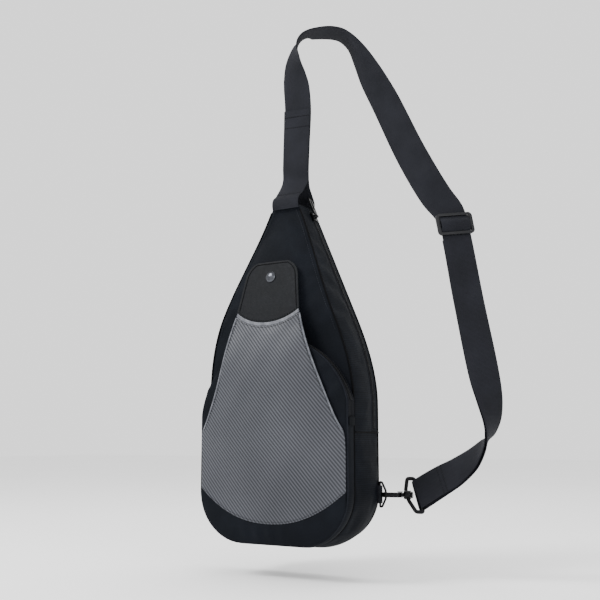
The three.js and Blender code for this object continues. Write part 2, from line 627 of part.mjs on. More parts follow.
const BOW = { nose: -4, back: 17.6, half: 8, thickness: 5 };
const BOW_HOLE = { nose: -1.6, back: 14.6, half: 5 };
const GATE_PIVOT = new THREE.Vector2(13.3, 6.5);
const GATE_LENGTH = 15.2;
const COLLAR_FROM = 20.2;
function bowPlate({ nose, back, half }, radius, thickness) {
  return plate(roundedShape(back - nose, 2 * half, radius), thickness, 5).translate((nose + back) / 2, 0, 0);
}
const gateSlot = new THREE.BoxGeometry(GATE_LENGTH + 0.7, 8, 12).translate(GATE_PIVOT.x - GATE_LENGTH / 2 + 1.3, 5, 0);
const cheeks = [-1, 1].map((side) =>
  new THREE.BoxGeometry(5.6, 3, 0.8).translate(GATE_PIVOT.x + 1.1, 6.4, side * 2.75));
const gatePin = rod(0.8, 5.8, 10).rotateX(Math.PI / 2).translate(GATE_PIVOT.x, GATE_PIVOT.y, 0);
const bow = cut(bowPlate(BOW, 5.5, BOW.thickness), bowPlate(BOW_HOLE, 3.5, 12), gateSlot);
const stem = joined(alongRod(2.2, BOW.back - 1, COLLAR_FROM + 9.2), alongRod(3.4, COLLAR_FROM + 7.8, COLLAR_FROM + 9.4));
add('hook_bow', hookPlace(joined(bow, ...cheeks, gatePin, stem)), BLACK_METAL);

const gateBlade = plate(roundedShape(GATE_LENGTH, 2.6, 1.25), 4).translate(GATE_PIVOT.x - GATE_LENGTH / 2 + 1.3, GATE_PIVOT.y, 0);
const gateBore = rod(1.05, 12, 10).rotateX(Math.PI / 2).translate(GATE_PIVOT.x, GATE_PIVOT.y, 0);
add('hook_gate', hookPlace(cut(gateBlade, gateBore)), BLACK_METAL);

// the swivel eye: a collar round the stem and a ring for the webbing
const EYE_BAR = 35.8;
const EYE_HALF = 20.7;
const EYE_WIRE = 1.8;
const webEnd = V(-0.42, 0.41, 0.81).normalize();
const eyePoint = (s, k) => hookOrigin.clone().addScaledVector(hookAlong, s).addScaledVector(webEnd, k);
const eyeRing = wireRing(
  [[COLLAR_FROM + 3, 6], [COLLAR_FROM + 8, EYE_HALF], [EYE_BAR, EYE_HALF],
    [EYE_BAR, -EYE_HALF], [COLLAR_FROM + 8, -EYE_HALF], [COLLAR_FROM + 3, -6]]
    .map(([s, k]) => eyePoint(s, k)),
  2.4, EYE_WIRE,
);
const collar = hookPlace(alongRod(4.6, COLLAR_FROM, COLLAR_FROM + 7.4));
add('hook_eye', cut(joined(collar, eyeRing), hookPlace(alongRod(2.6, COLLAR_FROM - 2, COLLAR_FROM + 7.6))), BLACK_METAL);

// ---------- the strap ----------
// Centre points of the webbing, each with the direction across its width.
// It is one length of webbing from the bag's apex to the hook.
const STRAP_PATH = [
  [[-46.5, 25.0, -203.5], [1, 0, 0]],
  [[-46.4, 24.4, -196.5], [1, 0, 0]],
  [[-45.8, 17.5, -188], [1, 0, 0]],
  [[-45.0, 10.0, -178.5], [1, 0, 0]],
  [[-43.5, 8.0, -133], [1, 0, 0]],
  [[-41.0, 6.5, -85], [1, 0.05, 0]],
  [[-42.0, 5.0, -60], [0.99, 0.02, 0]],
  [[-43.8, 3.5, -45], [0.97, -0.14, -0.1]],
  [[-44.0, 1.0, -31], [0.9, -0.36, -0.25]],
  [[-40.6, -2.0, -19], [0.77, -0.56, -0.3]],
  [[-34.0, -5.5, -9], [0.62, -0.74, -0.24]],
  [[-21.0, -8.0, -1.6], [0.5, -0.86, -0.1]],
  [[0, 0, 0.75], [0.45, -0.89, 0]],
  [[12.5, 6.0, -1.2], [0.43, -0.9, 0.05]],
  [[24.5, 10.0, -10], [0.47, -0.86, 0.2]],
  [[37.5, 13.0, -30], [0.7, -0.65, 0.29]],
  [[52.5, 17.0, -61], [0.87, -0.31, 0.39]],
  [[67.5, 20.0, -92], [0.91, -0.11, 0.41]],
  [[96.5, 24.0, -157.5], [0.89, 0.11, 0.44]],
  [[123.5, 26.5, -208], [0.8, 0.35, 0.48]],
  [[137.5, 27.5, -228], [0.72, 0.55, 0.43]],
  [[143.2, 28.0, -243], [0.663, 0.736, 0.136]],
  [[157.0, 31.2, -328], [0.663, 0.736, 0.136]],
  [[170.0, 34.2, -405], [0.663, 0.736, 0.136]],
  [[175.5, 34.8, -434], [0.43, 0.88, 0.15]],
  [[177.0, 35.0, -454], [0.16, 0.97, 0.1]],
  [[174.5, 35.0, -468], [-0.1, 0.99, 0.05]],
  [[167.5, 34.6, -480], [-0.35, 0.88, 0.3]],
  [[156.3, 35.4, -493.2], [-0.46, 0.72, 0.48]],
  [[137.8, 35.2, -506.8], [-0.47, 0.55, 0.66]],
  [[120.4, 35.2, -516.8], [-0.45, 0.46, 0.75]],
];
const eyeCentre = eyePoint(EYE_BAR, 0);
const WRAP_R = EYE_WIRE + 0.4 + WEB_T / 2;
const strapIn = V(-0.86, 0, -0.51).normalize();
const endNormal = strapIn.clone().cross(webEnd).normalize();
const mainEnd = eyeCentre.clone().addScaledVector(endNormal, WRAP_R);
STRAP_PATH.push([mainEnd.toArray(), webEnd.toArray()]);

const strapCentre = new THREE.CatmullRomCurve3(STRAP_PATH.map(([p]) => V(...p)), false, 'centripetal');
const strapAcross = new THREE.CatmullRomCurve3(STRAP_PATH.map(([, w]) => V(...w)), false, 'centripetal');
const LAST = STRAP_PATH.length - 1;

// position, width direction and face normal at a place counted in path points
function strapFrame(k) {
  const t = clamp01(k / LAST);
  const p = strapCentre.getPoint(t);
  const tangent = strapCentre.getPoint(Math.min(1, t + 0.002)).sub(strapCentre.getPoint(Math.max(0, t - 0.002)));
  const w = strapAcross.getPoint(t);
  const n = tangent.normalize().clone().cross(w).normalize();
  return { p, tangent, n, w: n.clone().cross(tangent).normalize() };
}

function ribbon(frames) {
  return sweep(frames.map(({ p, n, w }) => [[1, 1], [-1, 1], [-1, -1], [1, -1]].map(([i, j]) =>
    p.clone().addScaledVector(w, (i * WEBBING) / 2).addScaledVector(n, (j * WEB_T) / 2))), false, true);
}

function strapPiece(from, to, steps, offset = () => 0) {
  return ribbon(Array.from({ length: steps + 1 }, (_, i) => {
    const k = lerp(from, to, i / steps);
    const frame = strapFrame(k);
    frame.p.addScaledVector(frame.n, offset(k));
    return frame;
  }));
}

const CUT = 0.012;            // leaves a hair's gap where one stretch meets the next
const APEX = 0;
const ABOVE_APEX = 3;
const CREST_LEFT = 9;
const CREST_RIGHT = 15;
const ADJUST_TOP = 21;
const ADJUST_FOOT = 23;
add('strap_rear_leg', strapPiece(APEX, ABOVE_APEX - CUT, 8), STRAP);
add('strap_left_run', strapPiece(ABOVE_APEX + CUT, CREST_LEFT - CUT, 10), STRAP);
add('strap_crest', strapPiece(CREST_LEFT + CUT, CREST_RIGHT - CUT, 16), STRAP);
add('strap_right_run', strapPiece(CREST_RIGHT + CUT, ADJUST_TOP - CUT, 12), STRAP);
add('strap_adjust_run', strapPiece(ADJUST_TOP + CUT, ADJUST_FOOT - CUT, 3), STRAP);
add('strap_hook_run', strapPiece(ADJUST_FOOT + CUT, LAST, 26), STRAP);

// the second layer, from the slider down to the hook, behind the first
const TAIL_GAP = 2.6;
const TAIL_SLACK = 2;           // the two layers part a little below the bend
const tailOffset = (k) =>
  -lerp(TAIL_GAP + TAIL_SLACK * smooth(LAST - 6, LAST - 3, k), 2 * WRAP_R, smooth(LAST - 2, LAST, k));
add('strap_tail', strapPiece(ADJUST_TOP + 0.25, ADJUST_FOOT - CUT, 4, tailOffset), STRAP);
add('strap_tail_hook_run', strapPiece(ADJUST_FOOT + CUT, LAST, 26, tailOffset), STRAP);
const wrap = Array.from({ length: 9 }, (_, i) => {
  const angle = lerp(0.45, Math.PI - 0.75, i / 8);
  const n = endNormal.clone().multiplyScalar(Math.cos(angle)).addScaledVector(strapIn, Math.sin(angle));
  return { p: eyeCentre.clone().addScaledVector(n, WRAP_R), n, w: webEnd };
});
add('strap_eye_wrap', ribbon(wrap), STRAP);

// the front leg: sewn to the front panel, bulging forward over the apex,
// then lying on the front of the strap up to its folded end
const LAYER = 2.2;
const FRONT_LEG = [
  [-46.5, -12.3, -209], [-46.5, -13.6, -203.5], [-46.3, -12.4, -197], [-45.8, -5.0, -189.5],
].map((p) => ({ p: V(...p), w: V(1, 0, 0) }));
for (const k of [3.2, 3.6, 4, 4.5, 5]) {
  const { p, n, w } = strapFrame(k);
  FRONT_LEG.push({ p: p.addScaledVector(n, -LAYER), w });
}
const legCurve = new THREE.CatmullRomCurve3(FRONT_LEG.map(({ p }) => p), false, 'centripetal');
const legWidth = new THREE.CatmullRomCurve3(FRONT_LEG.map(({ w }) => w), false, 'centripetal');
const legFrames = Array.from({ length: 25 }, (_, i) => {
  const tangent = legCurve.getTangent(i / 24);
  const n = tangent.clone().cross(legWidth.getPoint(i / 24)).normalize();
  return { p: legCurve.getPoint(i / 24), n, w: n.clone().cross(tangent).normalize() };
});
add('strap_front_leg', ribbon(legFrames), STRAP);

// ---------- three-bar slider on the strap ----------
const runTop = V(...STRAP_PATH[ADJUST_TOP][0]);
const runFoot = V(...STRAP_PATH[ADJUST_FOOT][0]);
const glideDown = runFoot.clone().sub(runTop).normalize();
const glideOut = glideDown.clone().cross(V(...STRAP_PATH[ADJUST_TOP][1])).normalize();
const glideAcross = glideOut.clone().cross(glideDown).normalize();
const GLIDE = { width: 43, length: 24, thickness: 3, bar: 4, end: 3 };
const GLIDE_LIFT = 2.9;
const glideOrigin = runTop.clone().addScaledVector(glideOut, GLIDE_LIFT);
const glidePlace = (geometry) => place(geometry, glideOrigin, glideAcross, glideDown, glideOut.clone().negate());
const slotLength = GLIDE.length / 2 - GLIDE.end - GLIDE.bar / 2;
const slots = [-1, 1].map((side) =>
  plate(roundedShape(WEBBING + 1.6, slotLength, 1), 10).translate(0, side * (GLIDE.bar + slotLength) / 2, 0));
add('strap_slider', glidePlace(cut(plate(roundedShape(GLIDE.width, GLIDE.length, 4.5), GLIDE.thickness), ...slots)), PLASTIC);

// the webbing that rides over the slider's middle bar
const HUMP = [[-8.4, -0.6], [-5.5, 1.0], [-2.6, 2.7], [0, 3.0], [2.6, 2.7], [5.5, 1.0], [8.4, -0.6]];
const humpCurve = new THREE.CatmullRomCurve3(HUMP.map(([d, n]) => V(0, d, n)));
const humpFrames = Array.from({ length: 13 }, (_, i) => {
  const point = humpCurve.getPoint(i / 12);
  const slope = humpCurve.getTangent(i / 12);
  const along = glideDown.clone().multiplyScalar(slope.y).addScaledVector(glideOut, slope.z);
  const p = glideOrigin.clone().addScaledVector(glideDown, point.y).addScaledVector(glideOut, point.z);
  return { p, n: along.clone().cross(glideAcross).normalize(), w: glideAcross };
});
add('slider_wrap', ribbon(humpFrames), STRAP);

export default bag;
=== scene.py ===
# %% [markdown]
# A teardrop sling bag hangs from the top of its webbing strap. The hard pieces come from
# the CAD frame; every soft piece is drawn here from the same pattern sizes, so that it
# sits where its CAD solid is. The frame is loaded first.

# %% Load the frame
import math

import bmesh
import bpy
import numpy as np
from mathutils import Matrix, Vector


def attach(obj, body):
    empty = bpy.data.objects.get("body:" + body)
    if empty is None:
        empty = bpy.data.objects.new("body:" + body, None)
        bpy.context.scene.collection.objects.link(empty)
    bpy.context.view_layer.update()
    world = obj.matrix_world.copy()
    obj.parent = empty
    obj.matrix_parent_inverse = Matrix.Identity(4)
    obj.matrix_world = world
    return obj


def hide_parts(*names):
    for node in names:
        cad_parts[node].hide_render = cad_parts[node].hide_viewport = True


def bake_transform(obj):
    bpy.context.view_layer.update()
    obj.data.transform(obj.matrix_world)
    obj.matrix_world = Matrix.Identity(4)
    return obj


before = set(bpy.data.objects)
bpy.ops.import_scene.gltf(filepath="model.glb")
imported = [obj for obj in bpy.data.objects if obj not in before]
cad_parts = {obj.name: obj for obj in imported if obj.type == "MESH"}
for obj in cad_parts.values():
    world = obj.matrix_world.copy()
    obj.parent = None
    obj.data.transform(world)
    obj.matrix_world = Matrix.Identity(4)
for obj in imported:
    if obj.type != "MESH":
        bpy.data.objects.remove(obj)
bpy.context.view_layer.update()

# %% [markdown]
# The bag is drawn in millimetres from its own centre line and underside. These are the
# maker's pattern sizes: the body, the pocket's zipped arch, the flap and the strap.

# %% Pattern sizes
MM = 0.001
BAG_X, BAG_Z = -43.5, -583.0
HEIGHT, HALF_WIDTH, CORNER = 377.0, 93.0, 55.0
SHOULDER_H, SHOULDER_R, SHOULDER = 148.0, 250.0, math.radians(23)
LEAN = 4.5
BACK_Y, SEAM_Y, SEAM_RISE = 28.0, -30.0, 20.5
POCKET_Y, ARCH_R, ARCH_X, ARCH_H = -45.3, 95.5, 1.5, 124.0
ZIP_FOOT, JOIN_H = 134.0, 117.0
ZIP_LEFT = math.radians(129)
FOLD_H, SNAP_H, SNAP_X = 120.0, 290.0, -6.5
TAB_LOW, TAB_TOP, TAB_CORNER, TAB_DIP, STRIP = 252.0, 309.0, 17.0, 14.0, 4.0
FOOT_HALF, PULL_H = 41.0, 147.0
PULL_LEFT, PULL_RIGHT = 75.0, 70.0
LAY, FLAP_SLOPE, SKIN = -54.6, 0.2, 1.2
WEBBING, WEB_T = 35.0, 1.5
ZIP_Y, POCKET_ZIP_Y = 15.0, -37.4
SEAM_BEND_H = 240
CROWN, CROWN_FROM, CROWN_FULL, CROWN_EASE = 7, 222, 285, 310
POCKET_CROWN, POCKET_TOP_GAP = 6, 0.8
FOLD_HALF = HALF_WIDTH - 3
TAB_NARROWER, FLAP_HUG, BEND_SOFT, TAB_Y = 9, 6, 2.2, -37.4
SHIFT_FROM, SHIFT_TO = 150, 250


def smooth(a, b, t):
    s = min(1.0, max(0.0, (t - a) / (b - a)))
    return s * s * (3 - 2 * s)


def lerp(a, b, t):
    return a + (b - a) * t


def bag_point(x, y, h):
    return (BAG_X + x, y, BAG_Z + h)


def half_width(h, inset=0.0):
    if h < CORNER:
        return HALF_WIDTH - CORNER + math.sqrt(max(0.0, (CORNER - inset) ** 2 - (CORNER - h) ** 2))
    if h < SHOULDER_H:
        return HALF_WIDTH - inset
    radius = SHOULDER_R - inset
    up, top = h - SHOULDER_H, radius * math.sin(SHOULDER)
    centre = HALF_WIDTH - SHOULDER_R
    if up < top:
        return centre + math.sqrt(radius ** 2 - up ** 2)
    return centre + radius * math.cos(SHOULDER) - (up - top) * math.tan(SHOULDER)


def centre_x(h):
    return -LEAN * smooth(SHOULDER_H, SHOULDER_H + SHOULDER_R * math.sin(SHOULDER), h)


def seam_y(h):
    return SEAM_Y + SEAM_RISE * smooth(SEAM_BEND_H, HEIGHT, h)


def front_y(u, h):
    crown = CROWN * smooth(CROWN_FROM, CROWN_FULL, h) * (1 - 0.8 * smooth(CROWN_EASE, HEIGHT, h))
    return seam_y(h) - crown * (1 - u * u)


def arch_edge(side, h):
    if h < ARCH_H:
        return side * half_width(h)
    rise = math.sqrt(max(0.0, ARCH_R ** 2 - (h - ARCH_H) ** 2))
    return side * min(HALF_WIDTH, rise + side * ARCH_X)


POCKET_TOP = ARCH_H + ARCH_R - POCKET_TOP_GAP


def pocket_y(x, h):
    u = min(1.0, abs(x) / HALF_WIDTH)
    up = min(1.0, max(0.0, h / POCKET_TOP))
    return POCKET_Y - POCKET_CROWN * (1 - u * u) * math.sqrt(max(0.0, math.sin(math.pi * up)))


def flap_half(h, side):
    if h < TAB_LOW:
        a = FOLD_H - 2 * PULL_H + TAB_LOW
        b = 2 * (PULL_H - FOLD_H)
        pull = PULL_LEFT if side < 0 else PULL_RIGHT
        t = (-b + math.sqrt(b * b + 4 * a * max(0.0, h - FOLD_H))) / (2 * a)
        return (1 - t) ** 2 * FOLD_HALF + 2 * t * (1 - t) * pull + t * t * FOOT_HALF
    edge = lerp(FOOT_HALF, FOOT_HALF - TAB_NARROWER, (h - TAB_LOW) / (TAB_TOP - TAB_LOW))
    over = max(0.0, h - TAB_TOP + TAB_CORNER)
    return edge - TAB_CORNER + math.sqrt(max(0.0, TAB_CORNER ** 2 - over ** 2))


def flap_x(h):
    return SNAP_X * smooth(SHIFT_FROM, SHIFT_TO, h)


def flap_y(x, h):
    rise = TAB_Y + FLAP_SLOPE * (h - SNAP_H) - LAY
    return LAY + BEND_SOFT * math.log1p(math.exp(rise / BEND_SOFT)) + FLAP_HUG * (x / HALF_WIDTH) ** 2


def tab_foot(u):
    return TAB_LOW - TAB_DIP * (1 - u * u)


print("half width at 60 mm:", round(half_width(60), 1), "and at 300 mm:", round(half_width(300), 1))

# %% [markdown]
# Materials are node groups, so one helper adds a node with its settings and links. Colours
# are given as sRGB hex values, which the shader needs as linear numbers.

# %% Colour and node helpers
def linear(hex_value):
    parts = [int(hex_value[i:i + 2], 16) / 255 for i in (1, 3, 5)]
    return tuple(c / 12.92 if c < 0.04045 else ((c + 0.055) / 1.055) ** 2.4 for c in parts) + (1.0,)


def node(tree, kind, inputs=(), **settings):
    made = tree.nodes.new(kind)
    for key, value in settings.items():
        setattr(made, key, value)
    for key, value in dict(inputs).items():
        if isinstance(value, bpy.types.NodeSocket):
            tree.links.new(value, made.inputs[key])
        else:
            made.inputs[key].default_value = value
    return made


def new_material(name, roughness, specular=0.5, **constants):
    material = bpy.data.materials.new(name)
    material.use_nodes = True
    tree = material.node_tree
    tree.nodes.clear()
    shader = node(tree, "ShaderNodeBsdfPrincipled", {
        "Roughness": roughness, "Specular IOR Level": specular})
    for key, value in constants.items():
        shader.inputs[key.replace("_", " ")].default_value = value
    node(tree, "ShaderNodeOutputMaterial", {"Surface": shader.outputs[0]})
    return material, tree, shader


def ramp(tree, factor, stops):
    made = node(tree, "ShaderNodeValToRGB", {"Fac": factor})
    band = made.color_ramp
    while len(band.elements) < len(stops):
        band.elements.new(0.5)
    for element, (place, hex_value) in zip(band.elements, stops):
        element.position = place
        element.color = linear(hex_value)
    return made.outputs["Color"]


def colour(tree, shader, value, stops):
    tree.links.new(ramp(tree, value, stops), shader.inputs["Base Color"])


def pattern_uv(tree, turn=0.0):
    source = node(tree, "ShaderNodeTexCoord")
    return node(tree, "ShaderNodeMapping", {
        "Vector": source.outputs["UV"], "Rotation": (0, 0, turn)}).outputs[0]


def object_place(tree):
    return node(tree, "ShaderNodeTexCoord").outputs["Object"]


WAVE_REPEAT = 0.314159


def threads(tree, vector, count):
    """Count bands to a metre across X: at scale 1 a wave texture repeats every pi / 10."""
    wave = node(tree, "ShaderNodeTexWave", {
        "Vector": vector, "Scale": count * WAVE_REPEAT, "Distortion": 0.0},
        wave_type="BANDS", bands_direction="X")
    return wave.outputs["Fac"]


def noise(tree, vector, scale, detail=3.0, rough=0.5):
    return node(tree, "ShaderNodeTexNoise", {
        "Vector": vector, "Scale": scale, "Detail": detail, "Roughness": rough}).outputs["Fac"]


def maths(tree, operation, a, b):
    return node(tree, "ShaderNodeMath", {0: a, 1: b}, operation=operation).outputs[0]


def weighed(tree, a, part_a, b, part_b):
    return maths(tree, "ADD", maths(tree, "MULTIPLY", a, part_a), maths(tree, "MULTIPLY", b, part_b))


def bump(tree, shader, height, distance, strength=1.0, below=None):
    inputs = {"Height": height, "Distance": distance, "Strength": strength}
    if below is not None:
        inputs["Normal"] = below
    made = node(tree, "ShaderNodeBump", inputs)
    tree.links.new(made.outputs[0], shader.inputs["Normal"])
    return made.outputs[0]


def vary(tree, shader, value, low, high):
    spread = node(tree, "ShaderNodeMapRange", {"Value": value, "To Min": low, "To Max": high})
    tree.links.new(spread.outputs[0], shader.inputs["Roughness"])


# %% [markdown]
# The body is a tightly woven nylon oxford, piece-dyed navy black. Its threads are about
# 0.5 mm; they are drawn at 1 mm so that they can be seen. Handling leaves soft, slightly
# paler areas and small creases, which two noises give.

# %% Woven nylon
def woven(name, dark, mid, pale, thread_mm, crease=0.5, rough=(0.62, 0.85)):
    material, tree, shader = new_material(name, 0.75, 0.06)
    place = object_place(tree)
    broad = noise(tree, place, 26.0, 4.0)
    fine = noise(tree, place, 900.0, 2.0)
    warp = threads(tree, pattern_uv(tree), 1000 / thread_mm)
    weft = threads(tree, pattern_uv(tree, math.pi / 2), 1000 / thread_mm)
    weave = maths(tree, "MULTIPLY", warp, weft)
    tone = weighed(tree, broad, 0.5, weave, 0.45)
    colour(tree, shader, tone, [(0.25, dark), (0.5, mid), (0.8, pale)])
    vary(tree, shader, fine, *rough)
    folds = bump(tree, shader, noise(tree, place, 42.0, 3.0), 0.002 * crease, 0.6)
    bump(tree, shader, weave, 0.0001, 0.5, folds)
    return material


nylon = woven("woven nylon oxford", "#07090d", "#0f1218", "#1b1f26", 1.0)
lining = woven("lining taffeta", "#0e1014", "#14171c", "#1c1f25", 0.8, 0.3)
tape = woven("polyester zip tape", "#08090c", "#0d0e12", "#14161a", 0.9, 0.1)
# Paler than the nylon: a painted highlight on the pocket's raised welt.
welt_highlight_cloth = woven("pocket welt cloth with painted highlight", "#101217", "#1a1c22", "#282b31", 1.0, 0.1)
# Near black: painted shade of the grooves along the seams and round the tab's stitches.
groove_shade_cloth = woven("near-black cloth for painted groove shade", "#020203", "#050608", "#0a0b0e", 1.0, 0.1)
print("woven cloths:", nylon.name, "/", lining.name, "/", tape.name)

# %% [markdown]
# The panel and flap are cloth coated with PVC and embossed like a twill: ribs 3.2 mm apart
# that run down to the right, each broken into short steps. The coating is smooth, so the
# ribs catch the light as soft bright lines with dark grooves between them. The ribs are
# also painted into the colour, crests paler and grooves darker: painted highlight and shade.

# %% Embossed coated cloth
RIB_PITCH, STEP_PITCH = 3.2, 1.5
RIB_TURN, STEP_TURN = math.radians(-42), math.radians(62)
coated, tree, shader = new_material("embossed coated cloth", 0.45, 0.25,
                                    Coat_Weight=0.05, Coat_Roughness=0.35)
ribs = threads(tree, pattern_uv(tree, RIB_TURN), 1000 / RIB_PITCH)
steps = threads(tree, pattern_uv(tree, RIB_TURN + STEP_TURN), 1000 / STEP_PITCH)
relief = weighed(tree, ribs, 0.9, steps, 0.1)
place = object_place(tree)
clouds = noise(tree, place, 9.0, 2.0)
# Painted highlight and shade: the rib relief also sets the colour, crests paler, grooves darker.
tone = weighed(tree, relief, 0.6, clouds, 0.4)
colour(tree, shader, tone, [(0.15, "#181a1f"), (0.5, "#303238"), (0.9, "#4f5157")])
vary(tree, shader, noise(tree, place, 500.0), 0.36, 0.55)
soft = bump(tree, shader, noise(tree, place, 22.0, 2.0), 0.0015, 0.5)
bump(tree, shader, relief, 0.00035, 0.8, soft)
print("coated cloth ribs", RIB_PITCH, "mm apart")

# %% [markdown]
# The tab is synthetic leather, matt and finely pebbled. The folded edge of the coated
# cloth is painted paler: a painted highlight for the light its rounded turn catches. The
# webbing is woven polyester: ridges run across it every 1.3 mm, with a slanting thread
# over them.

# %% Leather, edges and webbing
PEBBLES_PER_MM, RIDGE_PITCH, SLANT_PITCH = 1.1, 1.3, 1.1
leather, tree, shader = new_material("pebbled synthetic leather", 0.6, 0.1)
place = object_place(tree)
cells = node(tree, "ShaderNodeTexVoronoi", {
    "Vector": place, "Scale": 1000 * PEBBLES_PER_MM}, feature="F1")
pebbles = cells.outputs["Distance"]
tone = weighed(tree, noise(tree, place, 45.0), 0.8, pebbles, 0.3)
colour(tree, shader, tone, [(0.2, "#030508"), (0.55, "#06080c"), (0.9, "#0d0f14")])
vary(tree, shader, noise(tree, place, 300.0), 0.45, 0.65)
bump(tree, shader, pebbles, 0.00025, 0.5)

# Pale grey as painted highlight on the rounded folded edges and the tab's piping.
edge_highlight_cloth, tree, shader = new_material("folded edge of coated cloth with painted highlight", 0.4, 0.25)
place = object_place(tree)
colour(tree, shader, noise(tree, place, 160.0), [(0.2, "#34363c"), (0.5, "#4e5056"), (0.8, "#6e7076")])
vary(tree, shader, noise(tree, place, 400.0), 0.32, 0.5)
bump(tree, shader, noise(tree, place, 700.0), 0.0002, 0.5)

webbing, tree, shader = new_material("woven polyester webbing", 0.8, 0.1)
place = object_place(tree)
ridges = threads(tree, pattern_uv(tree), 1000 / RIDGE_PITCH)
twill = threads(tree, pattern_uv(tree, math.radians(58)), 1000 / SLANT_PITCH)
weave = weighed(tree, ridges, 0.45, twill, 0.55)
tone = weighed(tree, weave, 0.5, noise(tree, place, 30.0), 0.5)
colour(tree, shader, tone, [(0.15, "#0c0d10"), (0.5, "#16171c"), (0.85, "#25262c")])
vary(tree, shader, noise(tree, place, 600.0), 0.68, 0.88)
bump(tree, shader, weave, 0.00022, 0.7)
print("webbing ridges", RIDGE_PITCH, "mm apart")

# %% [markdown]
# Hardware: zinc hook and rings in black enamel, a gunmetal snap cap, a moulded acetal
# slider, nylon zip coil and polyester thread.

# %% Hardware, coil and thread
def hard(name, dark, pale, rough, metallic=0.0, grain=0.00004, specular=0.5):
    material, tree, shader = new_material(name, sum(rough) / 2, specular, Metallic=metallic)
    place = object_place(tree)
    colour(tree, shader, noise(tree, place, 120.0), [(0.3, dark), (0.75, pale)])
    vary(tree, shader, noise(tree, place, 700.0, 4.0), *rough)
    bump(tree, shader, noise(tree, place, 1800.0), grain, 0.4)
    return material


enamel = hard("black enamelled zinc", "#08080a", "#121215", (0.2, 0.38), 0.7, specular=0.3)
gunmetal = hard("polished gunmetal", "#2a2b2f", "#56585d", (0.14, 0.26), 1.0)
acetal = hard("moulded black acetal", "#0a0b0e", "#131418", (0.32, 0.5), 0.0, 0.00008, 0.2)
coil_nylon = hard("nylon zip coil", "#0a0b0d", "#131417", (0.35, 0.5), specular=0.2)
thread = hard("twisted polyester thread", "#08090b", "#121317", (0.6, 0.8), 0.0, 0.0001, 0.1)
foam = woven("padding foam", "#202226", "#2a2c31", "#33363c", 2.0)
pale_thread = hard("washed polyester thread", "#191b20", "#2a2c32", (0.6, 0.8), 0.0, 0.0001, 0.1)
print("hardware finishes:", enamel.name, "/", gunmetal.name, "/", acetal.name)

# %% [markdown]
# Meshes are built from point functions in millimetres. A slab is a sheet with an outer and
# an inner face; a bag shell is a front grid and a back grid joined round by a wall.

# %% Mesh helpers
def metres(point):
    return (point[0] * MM, point[1] * MM, point[2] * MM)


def add_object(name, data):
    made = bpy.data.objects.new(name, data)
    bpy.context.scene.collection.objects.link(made)
    return made


def face_outwards(mesh, merge=0.0):
    """Turns the faces outwards, after points closer than merge (in metres) are joined."""
    bm = bmesh.new()
    bm.from_mesh(mesh)
    if merge:
        bmesh.ops.remove_doubles(bm, verts=bm.verts, dist=merge)
    bmesh.ops.recalc_face_normals(bm, faces=bm.faces)
    bm.to_mesh(mesh)
    bm.free()


def flat_uv(points, faces):
    """Each corner's place seen from the front."""
    return [[(points[v][0], points[v][2]) for v in face] for face in faces]


def build(name, points, faces, corner_uv, material):
    mesh = bpy.data.meshes.new(name)
    mesh.from_pydata([metres(p) for p in points], [], faces)
    layer = mesh.uv_layers.new(name="UVMap")
    for polygon, corners in zip(mesh.polygons, corner_uv):
        for loop, uv in zip(polygon.loop_indices, corners):
            layer.data[loop].uv = (uv[0] * MM, uv[1] * MM)
    mesh.materials.append(material)
    mesh.shade_smooth()
    return add_object(name, mesh)


def apply_modifiers(obj):
    evaluated = obj.evaluated_get(bpy.context.evaluated_depsgraph_get())
    mesh = bpy.data.meshes.new_from_object(evaluated)
    obj.modifiers.clear()
    obj.data = mesh
    return obj


def soften(obj, width_mm, angle=40, segments=2):
    """Rounds the cut edges, then smooths everything but real corners."""
    bevel = obj.modifiers.new("rounded edges", "BEVEL")
    bevel.width = width_mm * MM
    bevel.segments = segments
    bevel.limit_method = "ANGLE"
    bevel.angle_limit = math.radians(angle)
    bevel.use_clamp_overlap = True
    apply_modifiers(obj)
    obj.data.shade_smooth()
    obj.data.set_sharp_from_angle(angle=math.radians(60))
    return obj


def grid_rim(rows, columns):
    """The points round the edge of a grid, in order."""
    across = columns + 1
    rim = list(range(across))
    rim += [i * across + columns for i in range(1, rows + 1)]
    rim += [rows * across + j for j in range(columns - 1, -1, -1)]
    return rim + [i * across for i in range(rows - 1, 0, -1)]


def slab(name, rows, columns, outer, inner, material):
    """outer(u, v) and inner(u, v), both 0 to 1, give the two faces of a sheet."""
    across = columns + 1
    layer = (rows + 1) * across
    points = [face(j / columns, i / rows) for face in (outer, inner)
              for i in range(rows + 1) for j in range(across)]
    rim = grid_rim(rows, columns)
    faces = []
    for i in range(rows):
        for j in range(columns):
            a = i * across + j
            faces.append((a, a + 1, a + across + 1, a + across))
            faces.append((layer + a, layer + a + across, layer + a + across + 1, layer + a + 1))
    for k, a in enumerate(rim):
        b = rim[(k + 1) % len(rim)]
        faces.append((a, layer + a, layer + b, b))
    return build(name, points, faces, flat_uv(points, faces), material)


WALL_STEP = 3


